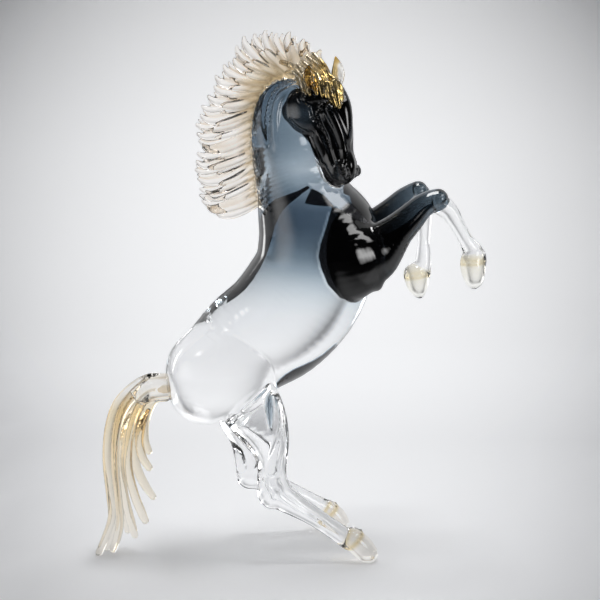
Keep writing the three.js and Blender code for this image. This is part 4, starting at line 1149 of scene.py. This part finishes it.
def main():
    h = 1.6
    V, Q = mesh(body_shape, h, snap=2)
    body = to_object("horse_body", V, Q, {"smoke": smoke_field(V), "black": black_field(V), "knee_and_cheek_highlight": knee_and_cheek_highlight_field(V), "amber": amber_field(V)})
    body.data.materials.append(body_material())
    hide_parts("body", "hoof_hind_right", "hoof_hind_left")
    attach(body, "root")

    def put(key, nodes, piece, material, attrs):
        shape, hh = GATHER[key]
        V, Q = mesh(shape, hh * (1.0), snap=1)
        ob = to_object(piece, V, Q, attrs(V))
        ob.data.materials.append(material)
        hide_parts(*nodes)
        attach(ob, "root")
        return ob

    along = lambda V: {"along": (V[:, 2] - V[:, 2].min()) / np.ptp(V[:, 2])}

    def down_leg(hoof):
        def f(V):
            c, d = np.array(hoof[0][:3]), np.array(hoof[-1][:3]) - np.array(hoof[0][:3])
            t = (V - c) @ (d / np.linalg.norm(d))
            return {"along": np.clip(0.5 + t / 40, 0, 1)}
        return f

    leg_stops = [(0.0, (0.985, 0.988, 0.988)), (0.40, (0.98, 0.98, 0.975)), (0.46, (0.90, 0.85, 0.70)), (0.52, (0.74, 0.62, 0.36)), (0.58, (0.93, 0.90, 0.80)), (1.0, (0.965, 0.965, 0.93))]
    clear = tinted("clear_glass", None, (0.98, 0.985, 0.985), "along", stops=leg_stops)
    put("foreleg_right", ("lower_foreleg_right", "hoof_fore_right"), "foreleg_right", clear, down_leg(HOOF_FORE_RIGHT))
    put("foreleg_left", ("lower_foreleg_left", "hoof_fore_left"), "foreleg_left", clear, down_leg(HOOF_FORE_LEFT))
    ear_stops = [(0.0, (0.52, 0.33, 0.08)), (0.45, (0.70, 0.52, 0.24)), (0.62, (0.95, 0.93, 0.88)), (1.0, (0.96, 0.95, 0.92))]
    ear = tinted("ear_glass", None, (0.95, 0.93, 0.88), "along", stops=ear_stops)
    put("ear_right", ("ear_right",), "right_ear", ear, lambda V: {"along": np.clip((V[:, 0] - V[:, 0].min()) / np.ptp(V[:, 0]) * 0.62, 0, 1)})
    put("ear_left", ("ear_left",), "left_ear", ear, lambda V: {"along": np.clip((V[:, 0] - V[:, 0].min()) / np.ptp(V[:, 0]) - 0.5 * step(444, 453, V[:, 2]), 0, 1)})

    crest = np.array([m[:3] for m in MANE])

    def root(V):
        from_crest = np.full(len(V), 1e9)
        for c in crest:
            from_crest = np.minimum(from_crest, np.linalg.norm(V - c, axis=1))
        top = np.clip((V[:, 2] - 385) / 50, 0, 1)
        tip = np.full(len(V), 1e9)
        for m in MANE:
            tip = np.minimum(tip, np.linalg.norm(V - np.array(m[3:]), axis=1))
        return {"amber": np.clip(from_crest / (13 + 26 * top), 0, 1) - 0.55 * np.exp(-(tip / 5.5) ** 2) * (0.35 + 0.65 * top), "seam": seams(V, mane_strands)}

    mane = tinted("mane_glass", None, (0.97, 0.94, 0.90), "amber", stops=[(0.0, (0.62, 0.44, 0.17)), (0.3, (0.90, 0.82, 0.68)), (0.6, (0.97, 0.925, 0.875)), (1.0, (0.98, 0.95, 0.915))],
                  seam=[(0.0, (0.18, 0.095, 0.02)), (0.45, (0.50, 0.36, 0.20)), (1.0, (0.80, 0.71, 0.60))], ior=1.36)
    put("mane", ("mane",), "mane_strands", mane, root)
    lock = tinted("amber_glass", None, (0.86, 0.68, 0.32), "along", rip=0.5, stops=[(0.0, (0.95, 0.87, 0.70)), (0.4, (0.90, 0.76, 0.49)), (0.7, (0.80, 0.60, 0.26)), (1.0, (0.70, 0.50, 0.18))])
    foil(lock, 0.0, 0.85, (0.38, 0.62))
    put("forelock", ("forelock",), "forelock_locks", lock,
        lambda V: {"along": np.clip(step(-6, 16, V[:, 0] - 0.55 * (V[:, 2] - 430)) + 0.16 * np.sin(V[:, 0] * 0.9 + 1.3 * np.sin(V[:, 2] * 0.7)), 0, 1)})
    tail = tinted("tail_glass", None, (0.95, 0.9, 0.8), "along",
                  stops=[(0.0, (0.95, 0.91, 0.84)), (0.3, (0.94, 0.88, 0.77)), (0.6, (0.93, 0.84, 0.68)), (0.80, (0.91, 0.79, 0.57)), (0.90, (0.965, 0.94, 0.89)), (1.0, (0.975, 0.965, 0.945))],
                  seam=[(0.0, (0.50, 0.38, 0.22)), (0.5, (0.46, 0.31, 0.13)), (0.85, (0.42, 0.25, 0.08)), (1.0, (0.70, 0.62, 0.48))], ior=1.42)
    put("tail", ("tail",), "tail_strands", tail, lambda V: dict(along(V), seam=seams(V, tail_strands)))


FLOOR_LIGHT = [0.22, 0.34, 0.50, 0.40, 0.20, 0.12]


def studio():
    cam_data = bpy.data.cameras.new("camera")
    cam = bpy.data.objects.new("camera", cam_data)
    bpy.context.collection.objects.link(cam)
    cam.location = Vector((EYE + np.array(SHIFT)) * 0.001)
    cam.rotation_mode = "QUATERNION"
    cam.rotation_quaternion = Vector(-BACK).to_track_quat("-Z", "Y")
    cam_data.sensor_width = 36.0
    cam_data.lens = 36.0 * FOCAL / 600.0
    cam_data.clip_start, cam_data.clip_end = 0.01, 50
    bpy.context.scene.camera = cam

    # seamless paper: floor, curve, wall; it fades to black in front, out of the picture
    prof = [(y, 0.0) for y in np.arange(-2.2, 0.86, 0.1)]
    R = 1.3
    for i in range(0, 37):
        a = math.radians(90 * i / 36)
        prof.append((0.9 + R * math.sin(a), R * (1 - math.cos(a))))
    prof += [(0.9 + R, z) for z in np.linspace(1.45, 7.0, 24)]
    prof = np.array(prof)
    n, m = len(prof), 81
    t = np.linspace(-1, 1, m)
    xs = 2.2 * t + 5.0 * t ** 5
    gx, gi = np.meshgrid(xs, np.arange(n))
    x, y, z = gx.ravel(), prof[gi.ravel(), 0], prof[gi.ravel(), 1]
    P = np.stack([x * math.cos(AZ) - y * math.sin(AZ), x * math.sin(AZ) + y * math.cos(AZ), z], 1)
    faces = [(i * m + j, i * m + j + 1, (i + 1) * m + j + 1, (i + 1) * m + j) for i in range(n - 1) for j in range(m - 1)]
    me = bpy.data.meshes.new("backdrop")
    me.from_pydata(P.tolist(), [], faces)
    me.polygons.foreach_set("use_smooth", np.ones(len(faces), bool))
    # painted light: the paper glows, brightest in the middle of the view and darker towards the corners and the bottom
    # (painted shade), with a dimmer glow all round outside the view; the lamps' own light is taken off, and nothing
    # glows in front
    u, v = project(P * 1000 - np.array(SHIFT))
    dy = np.where(v > 300, (v - 300) / 1.7, (v - 300) * 0.93)
    r = np.hypot(u - 302, dy) / 420
    inside = 0.83 * (1 - 0.82 * np.minimum(r, 1.0) ** 2.6) * np.interp(v, [380, 480, 560, 590, 700], [1, 0.93, 0.83, 0.81, 0.72])
    angle = np.abs(np.degrees(np.arctan2(x, y + 1.3)))
    around = np.interp(angle, [0, 35, 55, 70, 85], [0.85, 0.8, 0.62, 0.34, 0.08])
    out = np.clip(np.maximum(np.abs(u - 300) - 330, np.maximum(-v - 30, 0)) / 160, 0, 1)
    glow = inside * (1 - out) + around * out
    light = np.interp(y, [-0.6, -0.25, 0.4, 1.0, 1.7, 2.2], FLOOR_LIGHT) * np.interp(np.abs(x), [0, 0.5, 1.2, 2.5], [1, 0.95, 0.6, 0.2])
    glow = np.clip(glow - light, 0.0, 1.0) * step(-0.62, -0.2, y)
    a = me.attributes.new("glow", "FLOAT", "POINT")
    a.data.foreach_set("value", glow.astype(np.float32))
    a = me.attributes.new("paper", "FLOAT", "POINT")
    a.data.foreach_set("value", step(-0.62, -0.2, y).astype(np.float32))
    ob = bpy.data.objects.new("backdrop", me)
    bpy.context.collection.objects.link(ob)
    m, nt, b = new_material("paper")
    b.inputs["Roughness"].default_value = 0.9
    b.inputs["Specular IOR Level"].default_value = 0.0
    tint = ramp(nt, [(0.0, (0.06, 0.06, 0.062)), (1.0, (0.78, 0.785, 0.80))])
    nt.links.new(attribute(nt, "paper").outputs["Fac"], tint.inputs["Fac"])
    nt.links.new(tint.outputs["Color"], b.inputs["Base Color"])
    # painted light: this emission makes the paper glow
    b.inputs["Emission Color"].default_value = (0.985, 0.99, 1.0, 1)
    nt.links.new(attribute(nt, "glow").outputs["Fac"], b.inputs["Emission Strength"])
    ob.data.materials.append(m)

    def area(name, loc, aim, w, hgt, power, color=(1, 1, 1)):
        L = bpy.data.lights.new(name, "AREA")
        L.shape = "RECTANGLE"
        L.size, L.size_y, L.energy, L.color = w, hgt, power, color
        o = bpy.data.objects.new(name, L)
        o.location = loc
        o.rotation_mode = "QUATERNION"
        o.rotation_quaternion = (Vector(aim) - Vector(loc)).to_track_quat("-Z", "Y")
        o.visible_camera = False
        bpy.context.collection.objects.link(o)
        return o

    def card(name, loc, aim, w, hgt, strength, edge=0.5, color=(1, 1, 1)):
        """A softbox seen only as a reflection: bright in the middle, fading to nothing at its rim."""
        me = bpy.data.meshes.new(name)
        me.from_pydata([(-w / 2, -hgt / 2, 0), (w / 2, -hgt / 2, 0), (w / 2, hgt / 2, 0), (-w / 2, hgt / 2, 0)], [], [(0, 1, 2, 3)])
        o = bpy.data.objects.new(name, me)
        o.location = loc
        o.rotation_mode = "QUATERNION"
        o.rotation_quaternion = (Vector(aim) - Vector(loc)).to_track_quat("Z", "Y")
        bpy.context.collection.objects.link(o)
        o.visible_diffuse = False
        o.visible_camera = False
        m = bpy.data.materials.new(name)
        m.use_nodes = True
        nt = m.node_tree
        nt.nodes.clear()
        out = nt.nodes.new("ShaderNodeOutputMaterial")
        mix = nt.nodes.new("ShaderNodeMixShader")
        em = nt.nodes.new("ShaderNodeEmission")
        em.inputs["Strength"].default_value = strength
        em.inputs["Color"].default_value = (*color, 1)
        tr = nt.nodes.new("ShaderNodeBsdfTransparent")
        tc = nt.nodes.new("ShaderNodeTexCoord")
        sc = nt.nodes.new("ShaderNodeVectorMath")
        sc.operation = "MULTIPLY"
        sc.inputs[1].default_value = (2 / w, 2 / hgt, 0)
        ln = nt.nodes.new("ShaderNodeVectorMath")
        ln.operation = "LENGTH"
        fade = nt.nodes.new("ShaderNodeMapRange")
        fade.interpolation_type = "SMOOTHSTEP"
        fade.inputs["From Min"].default_value = 1.0 - edge
        fade.inputs["From Max"].default_value = 1.0
        fade.inputs["To Min"].default_value = 1.0
        fade.inputs["To Max"].default_value = 0.0
        nt.links.new(tc.outputs["Object"], sc.inputs[0])
        nt.links.new(sc.outputs["Vector"], ln.inputs[0])
        nt.links.new(ln.outputs["Value"], fade.inputs["Value"])
        nt.links.new(fade.outputs["Result"], mix.inputs["Fac"])
        nt.links.new(tr.outputs["BSDF"], mix.inputs[1])
        nt.links.new(em.outputs["Emission"], mix.inputs[2])
        nt.links.new(mix.outputs["Shader"], out.inputs["Surface"])
        o.data.materials.append(m)
        return o

    area("overhead", (0.14, 0.04, 1.9), (-0.06, 0.05, 0), 0.85, 0.36, 15)
    card("left_card", (-1.5, -0.42, 0.30), (0, 0, 0.35), 1.7, 1.6, 2.3, 0.9)
    card("left_back_card", (-1.15, 1.06, 0.40), (0, 0, 0.3), 0.40, 1.3, 7.5, 0.7)
    card("right_card", (0.78, -0.49, 1.08), (0.04, -0.04, 0.33), 1.3, 0.36, 6.5, 0.5)
    card("front_card", (0.95, -1.10, 0.50), (0.03, 0, 0.33), 0.66, 0.8, 9.0, 0.8)
    card("upper_left_card", (-0.90, -0.62, 1.24), (0, 0, 0.33), 0.5, 0.5, 6.0, 0.8)

    w = bpy.data.worlds.new("world")
    bpy.context.scene.world = w
    w.use_nodes = True
    nt = w.node_tree
    bg = nt.nodes["Background"]
    tc = nt.nodes.new("ShaderNodeTexCoord")
    dot = nt.nodes.new("ShaderNodeVectorMath")
    dot.operation = "DOT_PRODUCT"
    dot.inputs[1].default_value = (-math.sin(AZ), math.cos(AZ), 0.25)
    nt.links.new(tc.outputs["Generated"], dot.inputs[0])
    mr = nt.nodes.new("ShaderNodeMapRange")
    mr.inputs["From Min"].default_value = -0.6
    mr.inputs["From Max"].default_value = 0.35
    mr.inputs["To Min"].default_value = 0.015
    mr.inputs["To Max"].default_value = 0.10
    nt.links.new(dot.outputs["Value"], mr.inputs["Value"])
    nt.links.new(mr.outputs["Result"], bg.inputs["Strength"])
    bg.inputs["Color"].default_value = (0.93, 0.96, 1.0, 1)
    bpy.context.scene.view_settings.view_transform = "Standard"
    bpy.context.scene.view_settings.look = "None"


main()
studio()
